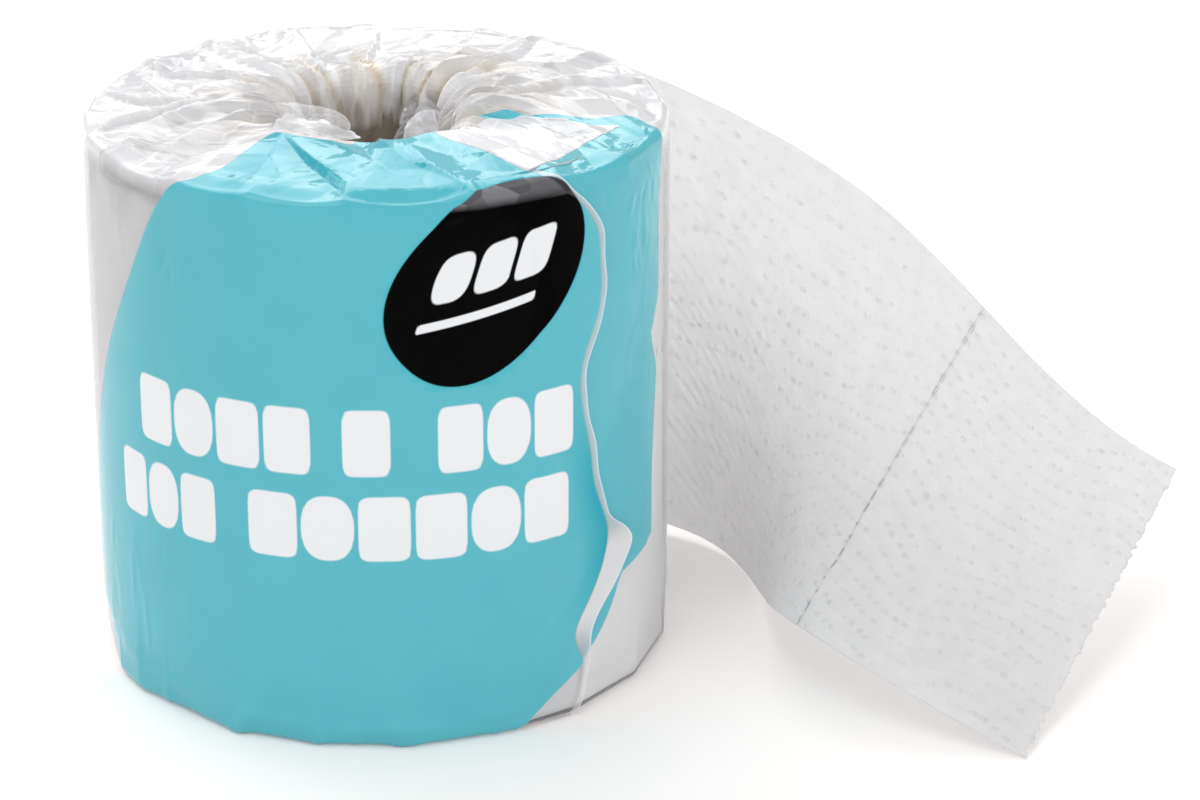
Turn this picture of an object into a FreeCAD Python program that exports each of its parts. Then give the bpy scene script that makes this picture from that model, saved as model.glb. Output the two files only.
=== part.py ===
import FreeCAD, Part
import Sketcher
import math
import os

# A toilet roll in its film wrap, standing on one end, with a length of its paper pulled out of the wrap.
# Millimetres. Z is the roll's axis, the wrap stands on Z = 0, and the paper leaves the back of the roll
# (its +Y side) towards +X, then twists and falls forward until its torn end meets the floor.

V = FreeCAD.Vector

SIZES = [
    ("paper_width", 98.0, "width of the paper web, so height of its turns"),
    ("paper_radius", 52.8, "outermost turn"),
    ("paper_thickness", 0.4, "two embossed plies"),
    ("leaving_length", 8.0, "straight length that leaves the roll at a tangent"),
    ("slit_length", 2.2, "one slit of the perforation, across the web"),
    ("slit_width", 0.3, "one slit of the perforation, along the web"),
    ("slit_pitch", 4.1, "slit to slit"),
    ("tooth_depth", 0.6, "notch in the torn end"),
    ("core_radius", 21.4, "outside of the card tube"),
    ("core_wall", 0.8, "card of the tube"),
    ("winding_gap", 0.05, "tube to first turn"),
    ("film_thickness", 0.2, "wrap, thicker than the real 0.03 so that it makes a sound solid"),
    ("film_side_gap", 0.9, "outermost turn to film"),
    ("film_base_gap", 1.3, "gathered film under the turns"),
    ("film_top_gap", 4.7, "loose gathered film over the turns"),
    ("film_tuck", 24.0, "length of film pushed into the tube at each end"),
    ("tuck_gap", 0.05, "tube to tucked film, and turns to the pleats they stand on"),
    ("shoulder_radius", 4.0, "film's round at the top edge"),
    ("base_radius", 2.2, "film's round at the base edge"),
    ("rim_radius", 2.5, "film's round at the top of the hole"),
    ("base_rim_radius", 1.2, "film's round at the base of the hole"),
    ("lap_angle", 35.0, "how far the film's outer end laps its inner end"),
    ("lap_start", -78.0, "direction from the axis at which the lap begins"),
    ("pleat_count", 24, "pleats gathered at each end"),
    ("pleat_width", 1.2, "folded-over width of a pleat"),
    ("pleat_height", 0.4, "stack of a pleat's folds above the film"),
    ("exit_clearance", 1.8, "film's slit, past the paper that leaves through it"),
]

# Heights above the base and radii from the axis that several pieces share.
PAPER_BASE = "(Sizes.film_thickness + Sizes.film_base_gap)"
PAPER_TOP = f"({PAPER_BASE} + Sizes.paper_width)"
FILM_TOP = f"({PAPER_TOP} + Sizes.film_top_gap + Sizes.film_thickness)"
FILM_INSIDE = "(Sizes.paper_radius + Sizes.film_side_gap)"
FILM_OUTSIDE = f"({FILM_INSIDE} + Sizes.film_thickness)"
CORE_BORE = "(Sizes.core_radius - Sizes.core_wall)"
TUCK_OUTSIDE = f"({CORE_BORE} - Sizes.tuck_gap)"
TUCK_INSIDE = f"({TUCK_OUTSIDE} - Sizes.film_thickness)"
WEB_MIDDLE = "(Sizes.paper_radius - Sizes.paper_thickness / 2)"

# The pulled-out length, from the roll to the torn end. Each station is the web's lower edge, as X from the
# axis, Y from the line on which the web leaves the roll and Z from the floor, then the direction of a
# straight line across the web from that edge: its compass angle from +X, and its slope from level.
STATIONS = [
    (18.0, -0.2, 2.2, 175.0, 85.5),
    (39.5, -3.6, 2.5, 154.0, 79.5),
    (62.5, -16.1, 1.2, 124.0, 69.0),
    (71.5, -37.1, 0.8, 96.0, 55.0),
    (73.5, -62.1, 8.0, 75.0, 35.0),
    (77.5, -82.6, 13.5, 64.0, 18.5),
    (93.5, -98.1, 9.5, 63.0, 11.5),
    (117.0, -110.1, 0.4, 66.5, 11.0),
]
PERFORATED_STATION = 6  # counted from the roll, where the web leaves it

doc = FreeCAD.newDocument("wrapped_toilet_roll")


def make_sheet():
    """The spreadsheet of driving sizes: a plain number, its alias and its meaning in each row."""
    sheet = doc.addObject("Spreadsheet::Sheet", "Sizes")
    for row, (alias, value, meaning) in enumerate(SIZES, start=1):
        sheet.set(f"A{row}", str(value))
        sheet.setAlias(f"A{row}", alias)
        sheet.set(f"B{row}", meaning)
    doc.recompute()
    return sheet


sheet = make_sheet()


def number(formula):
    """What a formula of sheet sizes comes to."""
    return float(sheet.evalExpression(formula))


def new_body(name):
    body = doc.addObject("PartDesign::Body", name)
    body.Label = name
    return body


def new_sketch(body, name, role, lift=None):
    """A sketch on one of the body's own origin planes, lifted off it by a formula."""
    plane = next(f for f in body.Origin.OriginFeatures if f.Role == role)
    sketch = body.newObject("Sketcher::SketchObject", name)
    sketch.AttachmentSupport = [(plane, "")]
    sketch.MapMode = "FlatFace"
    if lift:
        sketch.setExpression(".AttachmentOffset.Base.z", lift)
    return sketch


def constrain(sketch, formula, kind, *geometry):
    """One dimension of a sketch, bound to a formula."""
    index = sketch.addConstraint(Sketcher.Constraint(kind, *geometry, number(formula)))
    sketch.setExpression(f"Constraints[{index}]", formula)


def draw_outline(sketch, sides):
    """A closed outline of level and upright sides. Each side is its direction, the formula of its distance
    from the sketch's own axis, and the formula of the round where it turns into the next side, or None."""
    count = len(sides)
    place = [number(formula) for _, formula, _ in sides]
    radius = [number(formula) if formula else 0.0 for _, _, formula in sides]
    corners = []
    for this in range(count):
        after = (this + 1) % count
        across, up = (after, this) if sides[this][0] == "level" else (this, after)
        corners.append(V(place[across], place[up], 0))

    lines = []
    for this in range(count):
        run = (corners[this] - corners[this - 1]).normalize()
        start = corners[this - 1] + run * radius[this - 1]
        end = corners[this] - run * radius[this]
        lines.append(sketch.addGeometry(Part.LineSegment(start, end), False))

    for this, (direction, formula, round_formula) in enumerate(sides):
        line = lines[this]
        following = lines[(this + 1) % count]
        level = direction == "level"
        sketch.addConstraint(Sketcher.Constraint("Horizontal" if level else "Vertical", line))
        if formula == "0":
            sketch.addConstraint(Sketcher.Constraint("PointOnObject", line, 1, -1 if level else -2))
        else:
            constrain(sketch, formula, "DistanceY" if level else "DistanceX", -1, 1, line, 1)
        if not round_formula:
            sketch.addConstraint(Sketcher.Constraint("Coincident", line, 2, following, 1))
            continue
        leave = sketch.getPoint(line, 2)
        enter = sketch.getPoint(following, 1)
        centre = leave + enter - corners[this]
        turns_left = (corners[this] - leave).cross(enter - corners[this]).z > 0
        first, last = (leave, enter) if turns_left else (enter, leave)
        angles = [math.atan2((p - centre).y, (p - centre).x) for p in (first, last)]
        circle = Part.Circle(centre, V(0, 0, 1), radius[this])
        arc = sketch.addGeometry(Part.ArcOfCircle(circle, angles[0], angles[1]), False)
        near, far = (1, 2) if turns_left else (2, 1)
        sketch.addConstraint(Sketcher.Constraint("Tangent", line, 2, arc, near))
        sketch.addConstraint(Sketcher.Constraint("Tangent", following, 1, arc, far))
        constrain(sketch, round_formula, "Radius", arc)


def draw_circle(sketch, formula):
    """A circle about the axis."""
    circle = sketch.addGeometry(Part.Circle(V(0, 0, 0), V(0, 0, 1), number(formula)), False)
    sketch.addConstraint(Sketcher.Constraint("Coincident", circle, 3, -1, 1))
    constrain(sketch, formula, "Radius", circle)


def draw_box(sketch, wide, high, anchor="middle"):
    """A rectangle centred on the sketch's vertical axis, and centred on its level axis or standing on it."""
    half = number(wide) / 2
    low = -number(high) / 2 if anchor == "middle" else 0.0
    top = low + number(high)
    points = [V(-half, low, 0), V(half, low, 0), V(half, top, 0), V(-half, top, 0)]
    for index, point in enumerate(points):
        sketch.addGeometry(Part.LineSegment(point, points[(index + 1) % 4]), False)
    for index in range(4):
        sketch.addConstraint(Sketcher.Constraint("Coincident", index, 2, (index + 1) % 4, 1))
        sketch.addConstraint(Sketcher.Constraint("Vertical" if index % 2 else "Horizontal", index))
    if anchor == "middle":
        sketch.addConstraint(Sketcher.Constraint("Symmetric", 0, 1, 1, 2, -1, 1))
    else:
        sketch.addConstraint(Sketcher.Constraint("Symmetric", 0, 1, 0, 2, -1, 1))
    constrain(sketch, wide, "DistanceX", 0, 1, 0, 2)
    constrain(sketch, high, "DistanceY", 1, 1, 1, 2)


def revolve(body, kind, sketch, name, angle=None):
    """A sketch turned about the body's Z axis, added or cut away."""
    feature = body.newObject(f"PartDesign::{kind}", name)
    feature.Profile = sketch
    feature.ReferenceAxis = (sketch, ["V_Axis"])
    if angle:
        feature.setExpression("Angle", angle)
    else:
        feature.Angle = 360
    return feature


def pad(body, sketch, name, length):
    feature = body.newObject("PartDesign::Pad", name)
    feature.Profile = sketch
    feature.setExpression("Length", length)
    return feature


def cut_through(body, sketch, name, length):
    """A pocket of this length, half of it on each side of the sketch."""
    feature = body.newObject("PartDesign::Pocket", name)
    feature.Profile = sketch
    feature.Midplane = True
    feature.setExpression("Length", length)
    return feature


def make_core_tube():
    """A plain card tube, as long as the web is wide."""
    body = new_body("core_tube")
    ring = new_sketch(body, "core_ring", "XY_Plane", PAPER_BASE)
    draw_circle(ring, "Sizes.core_radius")
    draw_circle(ring, CORE_BORE)
    pad(body, ring, "core_wall", "Sizes.paper_width")
    return body


def make_turns(body):
    """The wound turns: a ring whose outermost turn leaves it along a level tangent at the back."""
    outline = new_sketch(body, "turns_outline", "XY_Plane", PAPER_BASE)
    radius = number("Sizes.paper_radius")
    inner = radius - number("Sizes.paper_thickness")
    end = number("Sizes.leaving_length")
    parting = math.sqrt(radius**2 - inner**2)
    circle = Part.Circle(V(0, 0, 0), V(0, 0, 1), radius)
    turn = math.atan2(inner, parting) + 2 * math.pi
    outline.addGeometry(Part.ArcOfCircle(circle, math.pi / 2, turn), False)
    points = [V(0, radius, 0), V(end, radius, 0), V(end, inner, 0), V(parting, inner, 0)]
    for start, stop in zip(points, points[1:]):
        outline.addGeometry(Part.LineSegment(start, stop), False)
    join = Sketcher.Constraint
    outline.addConstraint(join("Coincident", 0, 3, -1, 1))
    outline.addConstraint(join("PointOnObject", 0, 1, -2))
    outline.addConstraint(join("Coincident", 0, 1, 1, 1))
    outline.addConstraint(join("Coincident", 1, 2, 2, 1))
    outline.addConstraint(join("Coincident", 2, 2, 3, 1))
    outline.addConstraint(join("Coincident", 3, 2, 0, 2))
    outline.addConstraint(join("Horizontal", 1))
    outline.addConstraint(join("Vertical", 2))
    outline.addConstraint(join("Horizontal", 3))
    constrain(outline, "Sizes.paper_radius", "Radius", 0)
    constrain(outline, "Sizes.leaving_length", "DistanceX", 1, 1, 1, 2)
    constrain(outline, "Sizes.paper_thickness", "DistanceY", 2, 2, 2, 1)
    draw_circle(outline, "Sizes.core_radius + Sizes.winding_gap")
    pad(body, outline, "turns", "Sizes.paper_width")


def station_frames():
    """For each place along the pulled-out web: its lower edge, as numbers and as formulas, the direction
    across the web, and the direction square to its face."""
    width = number("Sizes.paper_width")
    places = [("Sizes.leaving_length", WEB_MIDDLE, PAPER_BASE, 90.0, 90.0)]
    for x, y, z, compass, slope in STATIONS:
        places.append((str(x), f"{WEB_MIDDLE} + ({y})", str(z), compass, slope))
    edges = [V(*(number(formula) for formula in place[:3])) for place in places]
    across = []
    for *_, compass, slope in places:
        level = math.cos(math.radians(slope))
        turn = math.radians(compass)
        across.append(V(level * math.cos(turn), level * math.sin(turn), math.sin(math.radians(slope))))
    middles = [edge + way * (width / 2) for edge, way in zip(edges, across)]
    frames = []
    for index, (place, way) in enumerate(zip(places, across)):
        ahead = middles[min(index + 1, len(middles) - 1)]
        behind = middles[max(index - 1, 0)]
        along = V(1, 0, 0) if index == 0 else ahead - behind
        frames.append((place[:3], way, way.cross(along).normalize()))
    return frames


def place_sketch(sketch, formulas, right, up):
    """Puts an unattached sketch at a point given by formulas, with its axes along two directions."""
    sketch.Placement = FreeCAD.Placement(V(), FreeCAD.Rotation(right, up, right.cross(up), "XYZ"))
    for axis, formula in zip("xyz", formulas):
        sketch.setExpression(f".Placement.Base.{axis}", formula)


def make_pulled_end(body, frames):
    """The pulled-out length: thin sections as wide as the web, lofted from the roll to the torn end."""
    sections = []
    for index, (formulas, across, normal) in enumerate(frames):
        section = body.newObject("Sketcher::SketchObject", f"web_section_{index}")
        place_sketch(section, formulas, normal, across)
        draw_box(section, "Sizes.paper_thickness", "Sizes.paper_width", "standing")
        sections.append(section)
    loft = body.newObject("PartDesign::AdditiveLoft", "pulled_end")
    loft.Profile = sections[0]
    loft.Sections = sections[1:]
    loft.Ruled = False


def make_cut_row(body, frame, name, along):
    """A row of small cuts across the web at a station, one to each pitch, centred on the web."""
    formulas, across, normal = frame
    cuts = "floor(Sizes.paper_width / Sizes.slit_pitch)"
    first = f"(Sizes.paper_width - ({cuts} - 1) * Sizes.slit_pitch) / 2"
    sketch = body.newObject("Sketcher::SketchObject", f"{name}_cut")
    steps = [f"{formula} + {getattr(across, axis):.6f} * {first}" for axis, formula in zip("xyz", formulas)]
    place_sketch(sketch, steps, across, normal.cross(across))
    draw_box(sketch, "Sizes.slit_length", along)
    pocket = cut_through(body, sketch, f"{name}_slit", "4 * Sizes.paper_thickness")
    row = body.newObject("PartDesign::LinearPattern", f"{name}_row")
    row.Originals = [pocket]
    row.Direction = (sketch, ["H_Axis"])
    row.setExpression("Length", f"({cuts} - 1) * Sizes.slit_pitch")
    row.setExpression("Occurrences", cuts)
    body.Tip = row


def make_paper_roll():
    """One web: its turns, the length pulled out of the wrap, its perforation and its torn end."""
    body = new_body("paper_roll")
    make_turns(body)
    frames = station_frames()
    make_pulled_end(body, frames)
    make_cut_row(body, frames[PERFORATED_STATION], "perforation", "Sizes.slit_width")
    make_cut_row(body, frames[-1], "torn_end", "2 * Sizes.tooth_depth")
    return body


def make_wrap_film():
    """One film sheet round the roll: over both ends, down into the tube at each end, lapped down one side."""
    body = new_body("wrap_film")
    outside = new_sketch(body, "film_outside", "XZ_Plane")
    draw_outline(outside, [
        ("level", "0", "Sizes.base_radius"),
        ("upright", FILM_OUTSIDE, "Sizes.shoulder_radius"),
        ("level", FILM_TOP, "Sizes.rim_radius"),
        ("upright", TUCK_INSIDE, "Sizes.base_rim_radius"),
    ])
    revolve(body, "Revolution", outside, "film_body")

    inside = new_sketch(body, "film_inside", "XZ_Plane")
    draw_outline(inside, [
        ("level", "Sizes.film_thickness", "Sizes.base_radius - Sizes.film_thickness"),
        ("upright", FILM_INSIDE, "Sizes.shoulder_radius - Sizes.film_thickness"),
        ("level", f"{FILM_TOP} - Sizes.film_thickness", "Sizes.rim_radius - Sizes.film_thickness"),
        ("upright", TUCK_OUTSIDE, None),
        ("level", f"{FILM_TOP} - Sizes.film_tuck", None),
        ("upright", f"{CORE_BORE} / 2", None),
        ("level", "Sizes.film_tuck", None),
        ("upright", TUCK_OUTSIDE, "Sizes.base_rim_radius - Sizes.film_thickness"),
    ])
    revolve(body, "Groove", inside, "film_hollow")
    make_lap(body)
    make_pleats(body, "top", f"{FILM_TOP} - Sizes.film_thickness / 2",
                "Sizes.pleat_height + Sizes.film_thickness / 2",
                f"{TUCK_INSIDE} + 2 * Sizes.rim_radius", f"{FILM_OUTSIDE} - Sizes.shoulder_radius")
    make_pleats(body, "base", "Sizes.film_thickness / 2",
                "Sizes.film_thickness / 2 + Sizes.film_base_gap - Sizes.tuck_gap",
                f"{TUCK_INSIDE} + 2 * Sizes.base_rim_radius", f"{FILM_OUTSIDE} - Sizes.base_radius")
    make_exit(body)
    return body


def make_lap(body):
    """The film's outer end, lying on its inner end over the lap's angle."""
    sketch = new_sketch(body, "lap_section", "XZ_Plane")
    sketch.AttachmentOffset = FreeCAD.Placement(V(), FreeCAD.Rotation(V(0, 1, 0), 1))
    sketch.setExpression(".AttachmentOffset.Rotation.Angle", "Sizes.lap_start")
    draw_outline(sketch, [
        ("level", "Sizes.base_radius", None),
        ("upright", f"{FILM_OUTSIDE} + Sizes.film_thickness", None),
        ("level", f"{FILM_TOP} - Sizes.shoulder_radius", None),
        ("upright", f"{FILM_OUTSIDE} - Sizes.film_thickness / 2", None),
    ])
    revolve(body, "Revolution", sketch, "lap", "Sizes.lap_angle")


def make_pleats(body, end, lift, height, near, far):
    """Gathered pleats at one end of the roll: radial folds, spaced evenly round the axis."""
    sketch = new_sketch(body, f"{end}_pleat_outline", "XY_Plane", lift)
    sketch.setExpression(".AttachmentOffset.Base.x", f"({near} + {far}) / 2")
    draw_box(sketch, f"{far} - ({near})", "Sizes.pleat_width")
    fold = pad(body, sketch, f"{end}_pleat", height)
    ring = body.newObject("PartDesign::PolarPattern", f"{end}_pleats")
    ring.Originals = [fold]
    axis = next(f for f in body.Origin.OriginFeatures if f.Role == "Z_Axis")
    ring.Axis = (axis, [""])
    ring.Angle = 360
    ring.setExpression("Occurrences", "Sizes.pleat_count")
    body.Tip = ring


def make_exit(body):
    """The slit through which the paper leaves: from where its outer face meets the film to where its inner
    face is clear of it, as tall as the web, with a clearance all round."""
    near = f"sqrt({FILM_INSIDE}^2 - Sizes.paper_radius^2) - Sizes.exit_clearance"
    far = (f"sqrt({FILM_OUTSIDE}^2 - (Sizes.paper_radius - Sizes.paper_thickness)^2)"
           " + Sizes.exit_clearance")
    sketch = new_sketch(body, "exit_outline", "XZ_Plane", "Sizes.shoulder_radius - Sizes.paper_radius")
    draw_outline(sketch, [
        ("level", f"{PAPER_BASE} - Sizes.tuck_gap", None),
        ("upright", far, None),
        ("level", f"{PAPER_TOP} + Sizes.exit_clearance / 2", None),
        ("upright", near, None),
    ])
    pocket = body.newObject("PartDesign::Pocket", "exit_slit")
    pocket.Profile = sketch
    pocket.setExpression("Length", "2 * Sizes.shoulder_radius")


bodies = [make_core_tube(), make_paper_roll(), make_wrap_film()]
doc.recompute()

for item in doc.Objects:
    if {"Invalid", "Error"} & set(item.State):
        raise RuntimeError(f"{item.Name} did not build: {item.State}")
    if item.TypeId in ("PartDesign::Pocket", "PartDesign::Groove"):
        if item.Shape.Volume >= item.BaseFeature.Shape.Volume:
            raise RuntimeError(f"{item.Name} cuts nothing")
for body in bodies:
    if body.Shape.isNull() or not body.Shape.isValid():
        raise RuntimeError(f"{body.Label} has no sound shape")

os.makedirs("parts", exist_ok=True)
for body in bodies:
    body.Shape.exportStep(f"parts/{body.Label}.step")
    box = body.Shape.BoundBox
    print(f"{body.Label}: {len(body.Shape.Solids)} solid, {body.Shape.Volume:.0f} mm3, "
          f"X {box.XMin:.2f} to {box.XMax:.2f}, Y {box.YMin:.2f} to {box.YMax:.2f}, "
          f"Z {box.ZMin:.2f} to {box.ZMax:.2f}")
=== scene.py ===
import math

import bpy
import numpy as np
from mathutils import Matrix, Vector
from mathutils.geometry import delaunay_2d_cdt


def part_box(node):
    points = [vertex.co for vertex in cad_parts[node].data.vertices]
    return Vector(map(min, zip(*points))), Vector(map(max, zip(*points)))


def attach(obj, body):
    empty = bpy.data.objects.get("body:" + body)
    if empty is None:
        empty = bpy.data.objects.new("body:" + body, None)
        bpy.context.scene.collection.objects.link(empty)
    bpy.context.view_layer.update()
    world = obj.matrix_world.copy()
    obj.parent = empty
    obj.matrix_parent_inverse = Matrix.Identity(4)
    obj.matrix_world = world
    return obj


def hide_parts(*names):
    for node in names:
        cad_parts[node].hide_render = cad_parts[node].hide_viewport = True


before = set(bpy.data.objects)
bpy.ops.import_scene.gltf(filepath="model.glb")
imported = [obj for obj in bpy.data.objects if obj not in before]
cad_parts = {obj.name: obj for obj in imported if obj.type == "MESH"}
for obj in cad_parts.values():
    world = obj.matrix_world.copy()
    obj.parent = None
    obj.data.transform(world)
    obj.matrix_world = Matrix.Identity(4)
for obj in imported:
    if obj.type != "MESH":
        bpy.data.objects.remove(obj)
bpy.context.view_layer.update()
mm = 0.001
body = "root"
lattice = 64  # cells in a table of random heights before it repeats
print("frame: nodes", sorted(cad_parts))

# real sizes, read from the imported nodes, in millimetres
filmRadius = -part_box("wrap_film")[0][0] / mm
pleatHeight = 0.4  # how far the wrap's pleats stand above its top in the frame
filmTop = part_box("wrap_film")[1][2] / mm - pleatHeight
paperRadius = -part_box("paper_roll")[0][0] / mm
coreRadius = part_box("core_tube")[1][0] / mm
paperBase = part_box("core_tube")[0][2] / mm
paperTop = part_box("core_tube")[1][2] / mm


def toLinear(code):
    # sRGB hex to linear light: c/12.92 below 0.04045, else ((c+0.055)/1.055)^2.4
    parts = [int(code[i:i + 2], 16) / 255 for i in (1, 3, 5)]
    return tuple(c / 12.92 if c < 0.04045 else ((c + 0.055) / 1.055) ** 2.4 for c in parts) + (1.0,)


def addNode(tree, kind, settings=None, links=None):
    # settings name a property of the node, or one of its inputs by name or number. A link may come from a
    # node, which stands for its first output.
    node = tree.nodes.new("ShaderNode" + kind)
    for key, value in (settings or {}).items():
        if isinstance(key, int) or key in node.inputs:
            node.inputs[key].default_value = value
        else:
            setattr(node, key, value)
    for key, source in (links or {}).items():
        socket = source if isinstance(source, bpy.types.NodeSocket) else source.outputs[0]
        tree.links.new(socket, node.inputs[key])
    return node


def emptyMaterial(name):
    material = bpy.data.materials.new(name)
    material.use_nodes = True
    material.node_tree.nodes.clear()
    return material, material.node_tree


def smoothStep(low, high, x):
    t = np.clip((x - low) / (high - low), 0, 1)
    return t * t * (3 - 2 * t)


def riseAndFall(low, lowEnd, high, highEnd, x):
    # rises smoothly from 0 to 1 between the first two places, and falls again between the last two
    return smoothStep(low, lowEnd, x) * (1 - smoothStep(high, highEnd, x))


def splineThrough(knots, values, at):
    # cubic spline through the points; its third slope is unbroken at the first and last inner point
    knots = np.asarray(knots, float)
    values = np.asarray(values, float).reshape(len(knots), -1)
    n, h = len(knots), np.diff(knots)
    system, right = np.zeros((n, n)), np.zeros_like(values)
    inner = np.arange(1, n - 1)
    system[inner, inner - 1] = h[:-1]
    system[inner, inner] = 2 * (h[:-1] + h[1:])
    system[inner, inner + 1] = h[1:]
    slope = np.diff(values, axis=0) / h[:, None]
    right[1:-1] = 6 * np.diff(slope, axis=0)
    system[0, :3] = h[1], -(h[0] + h[1]), h[0]
    system[-1, -3:] = h[-1], -(h[-2] + h[-1]), h[-2]
    bend = np.linalg.solve(system, right)
    at = np.asarray(at, float)
    i = np.clip(np.searchsorted(knots, at.ravel()) - 1, 0, n - 2)
    a = ((knots[i + 1] - at.ravel()) / h[i])[:, None]
    b = 1 - a
    curve = a * values[i] + b * values[i + 1]
    curve = curve + ((a ** 3 - a) * bend[i] + (b ** 3 - b) * bend[i + 1]) * (h[i] ** 2)[:, None] / 6
    return curve.reshape(at.shape + (-1,)) if values.shape[1] > 1 else curve.reshape(at.shape)


def gridPiece(name, points, flat, values=None, closed=False):
    # points: rows x columns x 3, flat: rows x columns x 2 of the sheet laid out, both in millimetres
    rows, columns = points.shape[:2]
    index = np.arange(rows * columns).reshape(rows, columns)
    right = np.roll(index, -1, axis=1) if closed else index[:, 1:]
    left = index if closed else index[:, :-1]
    quads = np.stack([left[:-1], right[:-1], right[1:], left[1:]], axis=-1).reshape(-1, 4)
    mesh = bpy.data.meshes.new(name)
    mesh.vertices.add(rows * columns)
    mesh.vertices.foreach_set("co", (points * mm).astype(np.float32).ravel())
    mesh.loops.add(quads.size)
    mesh.loops.foreach_set("vertex_index", quads.astype(np.int32).ravel())
    mesh.polygons.add(len(quads))
    mesh.polygons.foreach_set("loop_start", np.arange(0, quads.size, 4, dtype=np.int32))
    mesh.update(calc_edges=True)
    mesh.validate()
    mesh.shade_smooth()
    loopVertex = np.empty(len(mesh.loops), np.int32)
    mesh.loops.foreach_get("vertex_index", loopVertex)
    layer = mesh.uv_layers.new(name="flat")
    layer.data.foreach_set("uv", (flat.reshape(-1, 2) * mm)[loopVertex].astype(np.float32).ravel())
    for key, value in (values or {}).items():
        attribute = mesh.attributes.new(key, "FLOAT", "POINT")
        attribute.data.foreach_set("value", np.asarray(value, np.float32).ravel())
    piece = bpy.data.objects.new(name, mesh)
    bpy.context.scene.collection.objects.link(piece)
    return piece


def surfaceNormals(points):
    # the unit cross product of the grid's two slopes
    normal = np.cross(np.gradient(points, axis=1), np.gradient(points, axis=0))
    return normal / np.maximum(np.linalg.norm(normal, axis=-1, keepdims=True), 1e-9)


def finishPiece(piece, material, node):
    piece.data.materials.clear()
    piece.data.materials.append(material)
    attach(piece, body)
    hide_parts(node)


def softNoise(x, y, seed, size):
    # value noise: random numbers on a square lattice of the given size, blended by smooth steps
    table = np.random.default_rng(seed).random((lattice, lattice))
    u, v = x / size, y / size
    i, j = np.floor(u).astype(int), np.floor(v).astype(int)
    fu, fv = u - i, v - j
    fu, fv = fu * fu * (3 - 2 * fu), fv * fv * (3 - 2 * fv)
    i, j, nextI, nextJ = i % lattice, j % lattice, (i + 1) % lattice, (j + 1) % lattice
    low = table[i, j] * (1 - fu) + table[nextI, j] * fu
    high = table[i, nextJ] * (1 - fu) + table[nextI, nextJ] * fu
    return 2 * (low * (1 - fv) + high * fv) - 1


wrap = {
    "baseCorner": 2.0, "shoulder": 1.9, "rim": 2.5, "baseRim": 1.2, "tuck": 22.0, "tuckRadius": 20.5,
    "clear": 0.05, "cornerPoints": 13,            # room inside the frame's box, and points on each corner
    "columnsFront": 0.52, "columnsBack": 1.0,     # spacing round the side
    # the film keeps above this height, and below this much over its top
    "lowest": 0.03, "mostRise": 3.2,
    "slitMiddle": 78.0, "slitHalf": 3.4,          # degrees: where the pulled-out paper comes through
}


def wrapProfile(v):
    # The wrap's section: up the inside of the base tuck, out under the base, up the side, in over the top
    # and down the top tuck, with quarter arcs at each corner. v is the length along it, and equals the
    # height on the side.
    side, top, tuck = filmRadius - wrap["clear"], filmTop - wrap["clear"], wrap["tuckRadius"]
    low = wrap["clear"]
    path = [(tuck, low + wrap["tuck"])]
    corners = [(tuck, low, wrap["baseRim"], 1, 180), (side, low, wrap["baseCorner"], -1, -90),
               (side, top, wrap["shoulder"], -1, 0), (tuck, top, wrap["rim"], 1, 90)]
    for x, z, radius, inward, start in corners:
        centre = (x + inward * radius, z + (radius if z == low else -radius))
        turn = np.radians(np.linspace(start, start + 90, wrap["cornerPoints"]))
        path += list(zip(centre[0] + radius * np.cos(turn), centre[1] + radius * np.sin(turn)))
    path.append((tuck, top - wrap["tuck"]))
    path = np.array(path)
    length = np.concatenate([[0], np.cumsum(np.hypot(*np.diff(path, axis=0).T))])
    sideStart = 2 * wrap["cornerPoints"]  # where the base's outer arc ends and the side begins
    length = length - length[sideStart] + path[sideStart, 1]
    fine = np.linspace(length[0], length[-1], 6000)
    r, z = np.interp(fine, length, path[:, 0]), np.interp(fine, length, path[:, 1])
    slopeR, slopeZ = np.gradient(r, fine), np.gradient(z, fine)
    return (np.interp(v, fine, r), np.interp(v, fine, z),
            np.interp(v, fine, slopeZ), -np.interp(v, fine, slopeR), length[0], length[-1])


_, _, _, _, wrapStart, wrapEnd = wrapProfile(np.array([0.0]))
shoulderStart = filmTop - wrap["clear"] - wrap["shoulder"]
topStart = shoulderStart + wrap["shoulder"] * math.pi / 2
rimStart = topStart + (filmRadius - wrap["clear"] - wrap["shoulder"]) - (wrap["tuckRadius"] + wrap["rim"])
rimEnd = rimStart + wrap["rim"] * math.pi / 2
print("wrap: profile from", round(wrapStart, 1), "to", round(wrapEnd, 1), "rim at", round(rimStart, 1))


def fanOut(angle, v):
    # the point of a flat fan that stands for the film round its top: its radius is that of the top face,
    # and goes on growing down the side
    radius = wrap["tuckRadius"] + wrap["rim"] + (rimStart - v)
    return radius * np.cos(angle), radius * np.sin(angle), radius


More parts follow.
